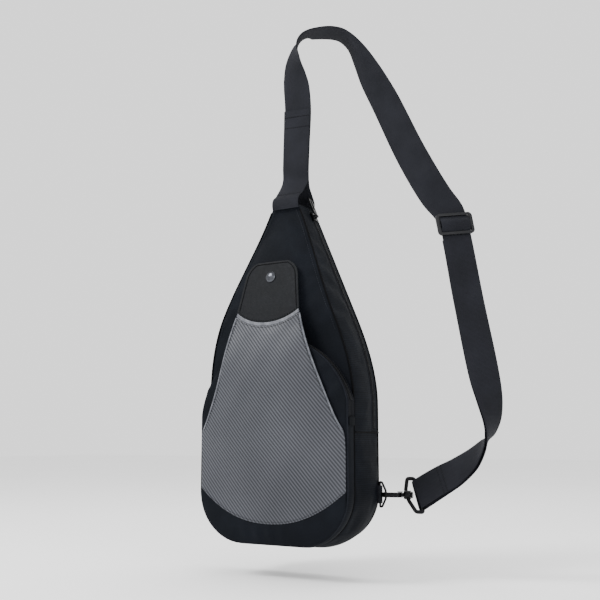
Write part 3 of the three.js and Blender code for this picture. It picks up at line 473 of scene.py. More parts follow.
def bag_shell(name, rows, columns, steps, front, back, bulge, material):
    """front(u, v) and back(u, v) are the two panels; bulge(point, s) pushes the wall out."""
    across = columns + 1
    size = (rows + 1) * across
    points = [front(j / columns, i / rows) for i in range(rows + 1) for j in range(across)]
    points += [back(j / columns, i / rows) for i in range(rows + 1) for j in range(across)]
    rim = grid_rim(rows, columns)
    count = len(rim)
    near = np.array([points[k] for k in rim])
    far = np.array([points[size + k] for k in rim])
    along = np.roll(near, -1, axis=0) - np.roll(near, 1, axis=0)
    out = np.stack([along[:, 2], np.zeros(count), -along[:, 0]], axis=1)
    out /= np.linalg.norm(out, axis=1)[:, None]
    run = np.concatenate([[0], np.cumsum(np.linalg.norm(np.diff(near, axis=0), axis=1))])
    first_ring = len(points)
    for step in range(1, steps):
        s = step / steps
        for k in range(count):
            p = near[k] * (1 - s) + far[k] * s
            points.append(tuple(p + out[k] * bulge(p, s)))

    def wall(k, step):
        k %= count
        if step == 0:
            return rim[k]
        if step == steps:
            return size + rim[k]
        return first_ring + (step - 1) * count + k

    faces = []
    for i in range(rows):
        for j in range(columns):
            a = i * across + j
            faces.append((a, a + 1, a + across + 1, a + across))
            faces.append((size + a, size + a + across, size + a + across + 1, size + a + 1))
    uv = flat_uv(points, faces)
    for step in range(steps):
        for k in range(count):
            face = (wall(k, step), wall(k, step + 1), wall(k + 1, step + 1), wall(k + 1, step))
            faces.append(face)
            ends = (run[k], run[k], run[k] + WALL_STEP, run[k] + WALL_STEP)
            uv.append([(end, points[v][1]) for end, v in zip(ends, face)])
    return build(name, points, faces, uv, material), rim


def tube_mesh(path, radius, closed, sides):
    """Points and faces of a round wire along a path of points."""
    path = [Vector(p) for p in path]
    count = len(path)
    points, faces = [], []
    normal = None
    for i in range(count):
        before = path[i - 1] if closed or i else path[0]
        after = path[(i + 1) % count] if closed or i < count - 1 else path[-1]
        tangent = (after - before).normalized()
        if normal is None:
            normal = tangent.orthogonal().normalized()
        normal = (normal - tangent * normal.dot(tangent)).normalized()
        other = tangent.cross(normal)
        for j in range(sides):
            angle = 2 * math.pi * j / sides
            points.append(tuple(path[i] + (normal * math.cos(angle) + other * math.sin(angle)) * radius))
    for i in range(count if closed else count - 1):
        for j in range(sides):
            a, b = i * sides + j, i * sides + (j + 1) % sides
            c, d = ((i + 1) % count) * sides + (j + 1) % sides, ((i + 1) % count) * sides + j
            faces.append((a, b, c, d))
    if not closed:
        faces.append(tuple(reversed(range(sides))))
        faces.append(tuple(range((count - 1) * sides, count * sides)))
    return points, faces


def wire(name, path, radius, material, closed=False, sides=12):
    points, faces = tube_mesh(path, radius, closed, sides)
    made = build(name, points, faces, flat_uv(points, faces), material)
    face_outwards(made.data)
    return made


def join(target, *others):
    """One mesh from several, all at the origin."""
    bm = bmesh.new()
    for obj in (target, *others):
        bm.from_mesh(obj.data)
    bm.to_mesh(target.data)
    bm.free()
    for obj in others:
        bpy.data.objects.remove(obj)
    return target


def place_on(obj, body, slot_name, *nodes):
    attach(obj, body)
    if nodes:
        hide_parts(*nodes)
    print(" ", obj.name, len(obj.data.polygons), "faces, rides on", body)


# %% [markdown]
# The body is two panels and a gusset sewn into one closed shell. Rows are spaced by angle
# round the lower corners so that the curve stays even.

# %% Body shell
def row_height(v, low_rows, top):
    """0 to 1 up the panel: the first part follows the corner's arc."""
    if v < low_rows:
        return CORNER * (1 - math.cos(v / low_rows * math.pi / 2))
    return lerp(CORNER, top, (v - low_rows) / (1 - low_rows))


BODY_ROWS, BODY_COLUMNS, BODY_STEPS = 72, 34, 14
LOW_PART = 0.2
BACK_PULL, BACK_EASE = 2.0, 7.0
SHELL_TOP = HEIGHT + 1.5
SWELL, LOW_SWELL, RIGHT_SWELL, LOW_ENDS = 0.5, 1.0, 2.4, 90


def body_front(u, v):
    h = row_height(v, LOW_PART, SHELL_TOP)
    across = 2 * u - 1
    return bag_point(centre_x(h) + across * half_width(h), front_y(across, h), h)


def body_back(u, v):
    h = row_height(v, LOW_PART, SHELL_TOP)
    across = 2 * u - 1
    from_seam = (1 - abs(across)) * half_width(h)
    drawn_in = BACK_PULL * math.exp(-from_seam / BACK_EASE)
    return bag_point(centre_x(h) + across * half_width(h), BACK_Y - drawn_in, h)


def body_bulge(p, s):
    """The wall swells between its seams, more where the lower corners sag."""
    h = p[2] - BAG_Z
    low = 1 - smooth(0, LOW_ENDS, h)
    right = smooth(-20, 60, p[0] - BAG_X)
    return (SWELL + low * (LOW_SWELL + RIGHT_SWELL * right)) * math.sin(math.pi * s)


body, body_rim = bag_shell("bag_body", BODY_ROWS, BODY_COLUMNS, BODY_STEPS,
                           body_front, body_back, body_bulge, nylon)
print("body shell:", len(body.data.vertices), "points")

# %% [markdown]
# The shell is filled softly by a cloth simulation: light air pressure, no gravity, and the
# seams held. The panel behind the pocket and the wall under the zip tape are held too,
# since they are sewn flat. The fabric is cut a little long, so that it creases.

# %% Cloth simulation of the body
PRESSURE, SLACK, CAP = 4.0, 0.012, 5.0
POCKET_HELD, ZIP_HELD, JOIN_HELD = 226, 7.5, 2.6


def inflate(obj, held, pressure, slack, cap_mm, frames=20):
    mesh = obj.data
    group = obj.vertex_groups.new(name="sewn")
    for index, weight in held.items():
        group.add([index], weight, "REPLACE")
    cloth = obj.modifiers.new("cloth", "CLOTH")
    cloth.settings.vertex_group_mass = "sewn"
    cloth.settings.quality = 5
    cloth.settings.mass = 0.2
    cloth.settings.tension_stiffness = 20
    cloth.settings.compression_stiffness = 20
    cloth.settings.shear_stiffness = 8
    cloth.settings.bending_stiffness = 0.3
    cloth.settings.use_pressure = True
    cloth.settings.uniform_pressure_force = pressure
    cloth.settings.shrink_min = -slack
    cloth.settings.effector_weights.gravity = 0
    cloth.collision_settings.use_collision = False
    cloth.point_cache.frame_start, cloth.point_cache.frame_end = 1, frames
    before = np.array([v.co for v in mesh.vertices])
    for frame_number in range(1, frames + 1):
        bpy.context.scene.frame_set(frame_number)
    evaluated = obj.evaluated_get(bpy.context.evaluated_depsgraph_get())
    after = np.array([v.co for v in evaluated.data.vertices])
    obj.modifiers.clear()
    bpy.context.scene.frame_set(1)
    move = after - before
    length = np.linalg.norm(move, axis=1)
    limit = cap_mm * MM
    eased = limit * np.tanh(length / limit)
    move *= (eased / np.maximum(length, 1e-9))[:, None]
    mesh.vertices.foreach_set("co", (before + move).ravel())
    mesh.update()
    obj.vertex_groups.clear()
    print(f"  {obj.name}: moved {eased.max() * 1000:.1f} mm at most")


def body_holds():
    """Weight 1 where the cloth is sewn down, by point."""
    held = {}
    grid = (BODY_ROWS + 1) * (BODY_COLUMNS + 1)
    for index, vertex in enumerate(body.data.vertices):
        x, y, z = (c / MM for c in vertex.co)
        h = z - BAG_Z
        on_front = index < grid
        on_back = grid <= index < 2 * grid
        if on_back or (on_front and h < POCKET_HELD) or h > HEIGHT - 1:
            held[index] = 1.0
        elif abs(y - ZIP_Y) < ZIP_HELD and x > BAG_X and h > JOIN_H:
            held[index] = 1.0
        elif not on_front and abs(h - JOIN_H) < JOIN_HELD:
            held[index] = 0.9
    for k in body_rim:
        held[k] = 1.0
    return held


inflate(body, body_holds(), PRESSURE, SLACK, CAP)
subdivide = body.modifiers.new("finer", "SUBSURF")
subdivide.levels = 1
apply_modifiers(body)
body.data.shade_smooth()
place_on(body, "bag", "nylon", "front_panel", "back_panel", "gusset_lower", "gusset_left",
         "gusset_right_front", "gusset_right_rear", "apex_panel")

# %% [markdown]
# A welt of doubled cloth stands along each seam of the body, and a second seam crosses
# the wall where the base gusset meets the side gussets. The welts are coloured near black,
# as painted shade of the groove along each seam.

# %% Body seams
WELT, RIDGE, SEAM_INSET, SEAM_ENDS, SEAM_POINTS = 1.1, 0.9, 0.3, 372, 60


def outline(y_of):
    """Points down the left side, round the underside and up the right side."""
    right = []
    for i in range(SEAM_POINTS + 1):
        h = row_height(i / SEAM_POINTS, 0.35, SEAM_ENDS)
        right.append((centre_x(h) + half_width(h) - SEAM_INSET, h))
    left = [(2 * centre_x(h) - x, h) for x, h in right]
    path = list(reversed(left)) + right
    return [bag_point(x, y_of(h), h) for x, h in path]


# The welts are near black, as painted shade of the seam grooves.
front_welt = wire("body_front_seam", outline(lambda h: seam_y(h) + 0.4), WELT, groove_shade_cloth, sides=8)
back_welt = wire("body_back_seam", outline(lambda h: BACK_Y - BACK_PULL), WELT, groove_shade_cloth, sides=8)
place_on(join(front_welt, back_welt), "bag", "nylon")


def gusset_ridge(side):
    points = []
    for i in range(13):
        s = i / 12
        y = lerp(seam_y(JOIN_H) + 1, BACK_Y - 1, s)
        swell = SWELL * math.sin(math.pi * s)
        points.append(bag_point(side * (HALF_WIDTH + 0.2 + swell), y, JOIN_H + 0.6))
    return wire(f"gusset_seam_{'right' if side > 0 else 'left'}", points, RIDGE, groove_shade_cloth, sides=8)


place_on(join(gusset_ridge(1), gusset_ridge(-1)), "bag", "nylon")

# %% [markdown]
# The pocket is a shallow shell sewn to the body: an arched panel and a narrow gusset. Soft
# folds start where the flap pulls on its corner and run down towards the outer edge.

# %% Pocket
POCKET_ROWS, POCKET_COLUMNS = 90, 44
POCKET_BACK_Y = SEAM_Y - 0.3
CORNER_PART, SIDE_PART = 0.16, 0.5


def pocket_row(v):
    """Rows round the lower corners, up the straight sides, then over the arch."""
    if v < CORNER_PART:
        return CORNER * (1 - math.cos(v / CORNER_PART * math.pi / 2))
    if v < SIDE_PART:
        return lerp(CORNER, ARCH_H, (v - CORNER_PART) / (SIDE_PART - CORNER_PART))
    return ARCH_H + (POCKET_TOP - ARCH_H) * math.sin((v - SIDE_PART) / (1 - SIDE_PART) * math.pi / 2)


def pocket_edges(h):
    if h < CORNER:
        return -half_width(h), half_width(h)
    return arch_edge(-1, h), arch_edge(1, h)


def pocket_fold(x, h):
    """Soft folds on the uncovered cloth beside the flap, in mm outwards."""
    beside = smooth(30, 75, abs(x)) * (1 - smooth(84, 92, abs(x)))
    level = smooth(110, 130, h) * (1 - smooth(185, 212, h))
    slant = h - 0.9 * abs(x)
    return beside * level * (0.7 * math.sin(slant / 6.3) + 0.4 * math.sin(slant / 2.9 + x / 9))


def pocket_front(u, v):
    h = pocket_row(v)
    left, right = pocket_edges(h)
    x = lerp(left, right, u)
    return bag_point(x, pocket_y(x, h) - pocket_fold(x, h), h)


def pocket_back(u, v):
    h = pocket_row(v)
    left, right = pocket_edges(h)
    return bag_point(lerp(left, right, u), POCKET_BACK_Y, h)


def pocket_bulge(p, s):
    h = p[2] - BAG_Z
    zipped = smooth(ZIP_FOOT - 8, ZIP_FOOT, h)
    low = 1 - smooth(0, 80, h)
    swell = (1 - zipped) * (0.7 + 1.2 * low) - 0.35 * zipped
    return swell * math.sin(math.pi * s)


pocket, _ = bag_shell("front_pocket", POCKET_ROWS, POCKET_COLUMNS, 6,
                      pocket_front, pocket_back, pocket_bulge, nylon)
place_on(pocket, "bag", "nylon", "pocket_panel", "pocket_gusset", "pocket_gusset_left")


def pocket_outline(offset_y, count=80):
    right, left = [], []
    for i in range(count + 1):
        h = pocket_row(i / count)
        edge_left, edge_right = pocket_edges(h)
        right.append(bag_point(edge_right, POCKET_Y + offset_y, h))
        left.append(bag_point(edge_left, POCKET_Y + offset_y, h))
    return list(reversed(left)) + right


# The pocket welt's paler colour is a painted highlight.
pocket_welt = wire("pocket_seam", pocket_outline(0.6), 0.95, welt_highlight_cloth, closed=True, sides=8)
place_on(pocket_welt, "bag", "nylon")

# %% [markdown]
# The coated panel covers the lower pocket with a curved lower edge, and the nylon band
# below it is gathered a little at the middle, so small pleats stand out there.

# %% Coated panel and base band
COVER_HALF = 91.5
COVER_MIDDLE, COVER_RISE, HALF_GAP = 21, 37, 0.15


def cover_low(x):
    return COVER_MIDDLE + COVER_RISE * abs(x / HALF_WIDTH) ** 2.2


def rim_low(x):
    over = max(0.0, abs(x) - HALF_WIDTH + CORNER)
    return CORNER - math.sqrt(CORNER ** 2 - over ** 2)


def cover_face(low, high, out, ripple):
    def point(u, v):
        x = (2 * u - 1) * COVER_HALF
        h = lerp(low(x), high(x), v)
        return bag_point(x, pocket_y(x, h) - out - ripple(x, h, v), h)
    return point


def panel_ripple(x, h, v):
    edge = math.sin(math.pi * v) ** 0.5
    return edge * (0.25 * math.sin(x / 17 + h / 23) + 0.15 * math.sin(x / 7 - h / 11))


def pleats(x, h, v):
    middle = math.exp(-((x + 6) / 34) ** 2)
    return math.sin(math.pi * v) * (0.5 + middle * 0.7 * math.sin(x / 2.6 + h / 9))


def flat_ripple(x, h, v):
    return 0.0


def panel_low(x):
    return cover_low(x) + HALF_GAP


def band_high(x):
    return cover_low(x) - HALF_GAP


def band_low(x):
    return rim_low(x) + 0.6


band = slab("gathered_base_band", 16, 110, cover_face(band_low, band_high, 1.2, pleats),
            cover_face(band_low, band_high, 0.2, flat_ripple), nylon)
place_on(soften(band, 0.3), "bag", "nylon", "base_band")

# %% [markdown]
# The flap is one sheet of the coated cloth folded over at its sides, where the fold is
# stitched and painted pale as a highlight. Its leather tab is laid over the top with a strip
# at its foot, painted pale as a highlight too.
# Every layer of it lies on one curved surface, so one function makes all their faces.

# %% The flap's surface
EDGE_FOLD = 2.3
FLAP_LOW, TAB_END = FOLD_H + 0.1, TAB_TOP - 0.6


def flap_face(low, high, inset, depth, ripple=flat_ripple):
    def point(s, v):
        u = 2 * s - 1
        foot = u * (FOOT_HALF - inset) / FOOT_HALF
        h = lerp(low(foot), high(foot), v)
        x = flap_x(h) + u * (flap_half(h, u) - inset)
        return bag_point(x, flap_y(x, h) + depth - ripple(x, h, v), h)
    return point


def flap_ripple(x, h, v):
    hold = smooth(0, 0.1, v) * (1 - smooth(0.9, 1, v))
    return hold * (0.3 * math.sin(x / 14 + h / 16) + 0.18 * math.sin(x / 6 - h / 9 + 1))


def flap_foot(u):
    return FLAP_LOW


def under_strip(u):
    return tab_foot(u) - STRIP - 0.1


def strip_foot(u):
    return tab_foot(u) - STRIP


def strip_head(u):
    return tab_foot(u) - 0.1


def tab_head(u):
    return TAB_END


# %% [markdown]
# The cover on the pocket and the flap above it are one cloth: sewn down below the fold,
# free above it. One mesh therefore bends between the bag and the flap at the fold.

# %% Coated cloth
FOLD_V, FLUSH = 0.42, 1.83


def cloth_face(out, depth, rise, cover_ripple, free_ripple):
    def point(s, v):
        u = 2 * s - 1
        if v < FOLD_V:
            t = v / FOLD_V
            x = u * lerp(COVER_HALF, FOLD_HALF, smooth(0.88, 1, t))
            h = lerp(panel_low(x), FOLD_H, t)
            y = pocket_y(x, h) - out - rise * smooth(0.55, 1, t) - cover_ripple(x, h, t)
            return bag_point(x, y, h)
        t = (v - FOLD_V) / (1 - FOLD_V)
        inset = EDGE_FOLD * smooth(0, 0.08, t)
        h = lerp(FOLD_H, under_strip(u * (FOOT_HALF - inset) / FOOT_HALF), t)
        x = flap_x(h) + u * (flap_half(h, u) - inset)
        return bag_point(x, flap_y(x, h) + depth - free_ripple(x, h, t), h)
    return point


cloth = slab("coated_cloth", 120, 80, cloth_face(1.5, 0, FLUSH, panel_ripple, flap_ripple),
             cloth_face(0.25, SKIN, FLUSH + 0.05, flat_ripple, flat_ripple), coated)
soften(cloth, 0.3)
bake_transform(cloth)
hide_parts("coated_panel", "flap_panel")
print("coated cloth:", len(cloth.data.polygons), "faces, bends at the fold")

# %% [markdown]
# Down each side the coated cloth is turned under. The turn is a soft roll, wider than it is
# deep, so it is a round wire drawn along the flap's edge and then widened.

# %% Folded edges
ROLL_R, ROLL_SIDES, ROLL_WIDER, ROLL_POINTS = 0.72, 12, 1.6, 60


def folded_edge(side, word):
    path = []
    for i in range(ROLL_POINTS + 1):
        h = lerp(FLAP_LOW + 0.6, TAB_LOW - 6, i / ROLL_POINTS)
        x = flap_x(h) + side * (flap_half(h, side) - EDGE_FOLD / 2)
        path.append(bag_point(x, flap_y(x, h) + SKIN / 2, h))
    made = wire(f"flap_folded_edge_{word}", path, ROLL_R, edge_highlight_cloth, sides=ROLL_SIDES)
    stretch = np.array([v.co for v in made.data.vertices])
    centres = np.repeat(np.array([metres(p) for p in path]), ROLL_SIDES, axis=0)
    stretch[:, 0] = centres[:, 0] + (stretch[:, 0] - centres[:, 0]) * ROLL_WIDER
    made.data.vertices.foreach_set("co", stretch.ravel())
    return made


for word, side in (("right", 1), ("left", -1)):
    place_on(folded_edge(side, word), "flap", "edge", f"flap_edge_{word}")

# %% [markdown]
# The leather tab stiffens the flap's tip and covers the cloth's raw end. A piping, painted
# pale as a highlight, finishes its foot, and a thin inner cloth lines the back of flap and tab.

# %% Piping, tab and inner cloth
strip = slab("tab_piping", 4, 48, flap_face(strip_foot, strip_head, 1, -0.25),
             flap_face(strip_foot, strip_head, 1, SKIN), edge_highlight_cloth)
place_on(soften(strip, 0.35), "flap", "edge", "tab_strip")
tab = slab("leather_tab", 44, 56, flap_face(tab_foot, tab_head, 0, -0.3),
           flap_face(tab_foot, tab_head, 0, SKIN), leather)
place_on(soften(tab, 0.5, segments=3), "flap", "tab", "flap_tab")
BACK_DEPTH, BACK_INSET = SKIN + 0.3, 1.4
flap_back = slab("flap_inner_cloth", 50, 40, flap_face(flap_foot, tab_head, BACK_INSET, BACK_DEPTH),
                 flap_face(flap_foot, tab_head, BACK_INSET, BACK_DEPTH + SKIN), lining)
place_on(soften(flap_back, 0.3), "flap", "lining", "flap_lining")

# %% [markdown]
# The strap is one length of 35 mm webbing. Its centre and the direction of its width are
# listed where it leaves the apex, crosses the crest and turns at the hook.

# %% Strap route
STRAP_PATH = [
    ((-46.5, 25.0, -203.5), (1, 0, 0)), ((-46.4, 24.4, -196.5), (1, 0, 0)),
    ((-45.8, 17.5, -188), (1, 0, 0)), ((-45.0, 10.0, -178.5), (1, 0, 0)),
    ((-43.5, 8.0, -133), (1, 0, 0)), ((-41.0, 6.5, -85), (1, 0.05, 0)),
    ((-42.0, 5.0, -60), (0.99, 0.02, 0)), ((-43.8, 3.5, -45), (0.97, -0.14, -0.1)),
    ((-44.0, 1.0, -31), (0.9, -0.36, -0.25)), ((-40.6, -2.0, -19), (0.77, -0.56, -0.3)),
    ((-34.0, -5.5, -9), (0.62, -0.74, -0.24)), ((-21.0, -8.0, -1.6), (0.5, -0.86, -0.1)),
    ((0, 0, 0.75), (0.45, -0.89, 0)), ((12.5, 6.0, -1.2), (0.43, -0.9, 0.05)),
    ((24.5, 10.0, -10), (0.47, -0.86, 0.2)), ((37.5, 13.0, -30), (0.7, -0.65, 0.29)),
    ((52.5, 17.0, -61), (0.87, -0.31, 0.39)), ((67.5, 20.0, -92), (0.91, -0.11, 0.41)),
    ((96.5, 24.0, -157.5), (0.89, 0.11, 0.44)), ((123.5, 26.5, -208), (0.8, 0.35, 0.48)),
    ((137.5, 27.5, -228), (0.72, 0.55, 0.43)), ((143.2, 28.0, -243), (0.663, 0.736, 0.136)),
    ((157.0, 31.2, -328), (0.663, 0.736, 0.136)), ((170.0, 34.2, -405), (0.663, 0.736, 0.136)),
    ((175.5, 34.8, -434), (0.43, 0.88, 0.15)), ((177.0, 35.0, -454), (0.16, 0.97, 0.1)),
    ((174.5, 35.0, -468), (-0.1, 0.99, 0.05)), ((167.5, 34.6, -480), (-0.35, 0.88, 0.3)),
    ((156.3, 35.4, -493.2), (-0.46, 0.72, 0.48)), ((137.8, 35.2, -506.8), (-0.47, 0.55, 0.66)),
    ((120.4, 35.2, -516.8), (-0.45, 0.46, 0.75)),
]
HOOK_YAW = math.radians(12)
RING_BAR_X, RING_Y, RING_H, RING_TIP, RING_WIRE = 95.2, 25.0, 51.5, 6.9, 1.2
EYE_BAR, EYE_HALF, EYE_WIRE, COLLAR_FROM = 35.8, 20.7, 1.8, 20.2
hook_along = Vector((math.cos(HOOK_YAW), math.sin(HOOK_YAW), 0))
hook_origin = Vector(bag_point(RING_BAR_X + RING_TIP, RING_Y, RING_H))
web_end = Vector((-0.42, 0.41, 0.81)).normalized()
strap_in = Vector((-0.86, 0, -0.51)).normalized()
end_normal = strap_in.cross(web_end).normalized()
WRAP_R = EYE_WIRE + 0.4 + WEB_T / 2


def eye_point(s, k):
    return hook_origin + hook_along * s + web_end * k


eye_centre = eye_point(EYE_BAR, 0)
STRAP_PATH.append((tuple(eye_centre + end_normal * WRAP_R), tuple(web_end)))
LAST = len(STRAP_PATH) - 1


def spline(points, t):
    """Centripetal Catmull-Rom through the points, t from 0 to 1."""
    place = t * (len(points) - 1)
    i = min(int(place), len(points) - 2)
    w = place - i
    p1, p2 = points[i], points[i + 1]
    p0 = points[i - 1] if i else p1 * 2 - p2
    p3 = points[i + 2] if i + 2 < len(points) else p2 * 2 - p1
    d0, d1, d2 = ((b - a).length_squared ** 0.25 for a, b in ((p0, p1), (p1, p2), (p2, p3)))
    d1 = d1 if d1 > 1e-4 else 1.0
    d0 = d0 if d0 > 1e-4 else d1
    d2 = d2 if d2 > 1e-4 else d1
    t1 = ((p1 - p0) / d0 - (p2 - p0) / (d0 + d1) + (p2 - p1) / d1) * d1
    t2 = ((p2 - p1) / d1 - (p3 - p1) / (d1 + d2) + (p3 - p2) / d2) * d1
    c2 = (p2 - p1) * 3 - t1 * 2 - t2
    c3 = (p1 - p2) * 2 + t1 + t2
    return p1 + t1 * w + c2 * w ** 2 + c3 * w ** 3


strap_centres = [Vector(p) for p, _ in STRAP_PATH]
strap_widths = [Vector(w) for _, w in STRAP_PATH]


def frame_of(centres, widths, t):
    p = spline(centres, t)
    tangent = (spline(centres, min(1, t + 0.002)) - spline(centres, max(0, t - 0.002))).normalized()
    n = tangent.cross(spline(widths, t)).normalized()
    return p, n, n.cross(tangent).normalized()


def strap_frame(k, offset=0.0):
    p, n, w = frame_of(strap_centres, strap_widths, min(1.0, max(0.0, k / LAST)))
    return p + n * offset, n, w


# %% [markdown]
# Webbing is a flat ribbon with rounded, slightly thinner edges. Its UV runs along and
# across in millimetres so that the woven ridges keep their pitch round every bend.

# %% Webbing
ACROSS = [-1, -0.985, -0.94, -0.8, -0.4, 0, 0.4, 0.8, 0.94, 0.985, 1]


def ribbon(name, frames, width=WEBBING):
    ring = len(ACROSS) * 2
    points, faces, run = [], [], [0.0]
    for i, (p, n, w) in enumerate(frames):
        if i:
            run.append(run[-1] + (p - frames[i - 1][0]).length)
        for side in (1, -1):
            for a in (ACROSS if side > 0 else reversed(ACROSS)):
                half = WEB_T / 2 * math.sqrt(max(0.08, 1 - abs(a) ** 14))
                points.append(tuple(p + w * (a * width / 2) + n * (side * half)))
    for i in range(len(frames) - 1):
        for j in range(ring):
            a, b = i * ring + j, i * ring + (j + 1) % ring
            faces.append((a, a + ring, b + ring, b))
    faces.append(tuple(range(ring)))
    faces.append(tuple(reversed(range((len(frames) - 1) * ring, len(frames) * ring))))
    lateral = [a * width / 2 for a in ACROSS + ACROSS[::-1]]
    uv = [[(run[v // ring], lateral[v % ring]) for v in face] for face in faces]
    made = build(name, points, faces, uv, webbing)
    made.data.set_sharp_from_angle(angle=math.radians(70))
    return made


# %% [markdown]
# The strap leaves the apex as one layer that starts inside the seam. Below the slider a
# second layer, its tail, runs beside it to the hook, where the two meet round the eye.

# %% Strap and tail
ADJUST_TOP, ADJUST_FOOT = 21, 23
TAIL_GAP, TAIL_SLACK, LAYER = 1.9, 1.2, 2.2
STRAP_STEPS, TAIL_STEPS, SEWN_IN = 300, 120, 4


def tail_offset(k):
    apart = TAIL_GAP + TAIL_SLACK * smooth(LAST - 6, LAST - 3, k)
    return -lerp(apart, 2 * WRAP_R, smooth(LAST - 2, LAST, k))


foot, foot_n, foot_w = strap_frame(0)
down = foot_n.cross(foot_w).normalized()
down *= -1 if down.z > 0 else 1
strap_frames = [(foot + down * depth, foot_n, foot_w) for depth in range(SEWN_IN, 0, -1)]
strap_frames += [strap_frame(LAST * i / STRAP_STEPS) for i in range(STRAP_STEPS + 1)]
main_strap = ribbon("strap_webbing", strap_frames)
place_on(main_strap, "bag", "webbing", "strap_rear_leg", "strap_left_run", "strap_crest",
         "strap_right_run", "strap_adjust_run", "strap_hook_run")
tail_places = [lerp(ADJUST_TOP + 0.25, LAST, i / TAIL_STEPS) for i in range(TAIL_STEPS + 1)]
tail = ribbon("strap_tail_webbing", [strap_frame(k, tail_offset(k)) for k in tail_places])
place_on(tail, "bag", "webbing", "strap_tail", "strap_tail_hook_run")

# %% [markdown]
# Short pieces of the same webbing finish the strap: the turn round the hook's eye and the
# front leg, which is sewn to the main strap above the apex.

# %% Turn at the eye and front leg
WRAP_STEPS, LEG_STEPS = 24, 80
wrap = []
for i in range(WRAP_STEPS + 1):
    angle = lerp(0.3, math.pi - 0.6, i / WRAP_STEPS)
    n = end_normal * math.cos(angle) + strap_in * math.sin(angle)
    wrap.append((eye_centre + n * WRAP_R, n, web_end))
place_on(ribbon("strap_wrap_at_eye", wrap), "bag", "webbing", "strap_eye_wrap")

leg_centres = [Vector(p) for p in ((-46.5, -12.3, -209), (-46.5, -13.6, -203.5), (-46.3, -12.4, -197),
                                   (-45.8, -5.0, -189.5))]
leg_widths = [Vector((1, 0, 0))] * 4
for k in (3.2, 3.6, 4, 4.5, 5):
    p, n, w = strap_frame(k)
    leg_centres.append(p - n * LAYER)
    leg_widths.append(w)
leg_frames = [frame_of(leg_centres, leg_widths, i / LEG_STEPS) for i in range(LEG_STEPS + 1)]
place_on(ribbon("strap_front_leg_webbing", leg_frames), "bag", "webbing", "strap_front_leg")

# %% [markdown]
# The webbing rises over the slider's middle bar and dips under its outer bars. That hump
# glides with the slider, so it is a piece of its own.

# %% Webbing over the slider
HUMP = [Vector((d, n, 0)) for d, n in ((-8.4, -0.6), (-5.5, 1), (-2.6, 2.7), (0, 3),
                                       (2.6, 2.7), (5.5, 1), (8.4, -0.6))]
HUMP_STEPS, HUMP_OUT = 36, 2.9
run_top, run_foot = (Vector(STRAP_PATH[k][0]) for k in (ADJUST_TOP, ADJUST_FOOT))
glide_down = (run_foot - run_top).normalized()
glide_out = glide_down.cross(Vector(STRAP_PATH[ADJUST_TOP][1])).normalized()
glide_across = glide_out.cross(glide_down).normalized()
glide_origin = run_top + glide_out * HUMP_OUT
hump = []
for i in range(HUMP_STEPS + 1):
    t = i / HUMP_STEPS
    here = spline(HUMP, t)
    slope = spline(HUMP, min(1, t + 0.01)) - spline(HUMP, max(0, t - 0.01))
    along = (glide_down * slope.x + glide_out * slope.y).normalized()
    centre = glide_origin + glide_down * here.x + glide_out * here.y
    hump.append((centre, along.cross(glide_across).normalized(), glide_across))
place_on(ribbon("webbing_over_slider", hump), "adjuster", "webbing", "slider_wrap")

# %% [markdown]
# Each ring is held by a loop of narrower webbing sewn into the side seam. The loop goes
# out along the ring's straight bar, round it and back.

# %% Ring tabs
TAB_WIDTH = 19


def ring_tab(side, word):
    start = HALF_WIDTH + 0.3 - RING_BAR_X
    middle = RING_WIRE + 0.35 + 0.45
    route = [(start, -middle)] + [(start * (1 - i / 3), -middle) for i in range(1, 3)]
    route += [(middle * math.cos(a), middle * math.sin(a))
              for a in (lerp(-math.pi / 2, math.pi / 2, i / 14) for i in range(15))]
    route += [(start * i / 3, middle) for i in range(1, 3)] + [(start, middle)]
    origin = Vector(bag_point(side * RING_BAR_X, RING_Y, RING_H))
    centres = [origin + Vector((side * x, side * y, 0)) for x, y in route]
    frames = []
    up = Vector((0, 0, 1))
    for i, p in enumerate(centres):
        tangent = (centres[min(i + 1, len(centres) - 1)] - centres[max(i - 1, 0)]).normalized()
        frames.append((p, tangent.cross(up).normalized(), up))
    made = ribbon(f"ring_tab_webbing_{word}", frames, TAB_WIDTH)
    place_on(made, "bag", "webbing", f"ring_tab_{word}")


ring_tab(1, "right")
ring_tab(-1, "left")

# %% [markdown]
# Cast and moulded pieces are copied from the CAD frame, merged, and given the small
# rounded edges that casting and tumbling leave, with real corners kept.

# %% Hard pieces
MERGE = 2e-6


def refined(node_name, name, body_name, slot_name, material, edge_mm):
    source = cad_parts[node_name]
    mesh = source.data.copy()
    mesh.transform(source.matrix_world)
    mesh.materials.clear()
    mesh.materials.append(material)
    made = add_object(name, mesh)
    bm = bmesh.new()
    bm.from_mesh(mesh)
    bmesh.ops.remove_doubles(bm, verts=bm.verts, dist=MERGE)
    bmesh.ops.dissolve_limit(bm, angle_limit=math.radians(0.6), verts=bm.verts, edges=bm.edges)
    bmesh.ops.recalc_face_normals(bm, faces=bm.faces)
    bm.to_mesh(mesh)
    bm.free()
    for face in mesh.polygons:
        face.material_index = 0
    soften(made, edge_mm, angle=32, segments=3)
    place_on(made, body_name, slot_name, node_name)


refined("hook_bow", "snap_hook_bow", "hook", "black_metal", enamel, 0.7)
refined("hook_gate", "snap_hook_gate", "gate", "black_metal", enamel, 0.5)
refined("strap_slider", "three_bar_slider", "adjuster", "plastic", acetal, 0.6)
refined("main_zip_slider", "main_zip_slider_body", "main_slider", "black_metal", enamel, 0.3)
refined("main_zip_pull", "main_zip_pull_tab", "main_pull", "black_metal", enamel, 0.35)
refined("pocket_zip_slider", "pocket_zip_slider_body", "pocket_slider", "black_metal", enamel, 0.3)
refined("pocket_zip_pull", "pocket_zip_pull_tab", "pocket_pull", "black_metal", enamel, 0.35)
for end in ("right", "left"):
    refined(f"pocket_zip_end_{end}", f"zip_end_tab_{end}", "bag", "nylon", nylon, 0.3)

# %% [markdown]
# Rings and the swivel eye are bent from round wire, and the collar is turned.

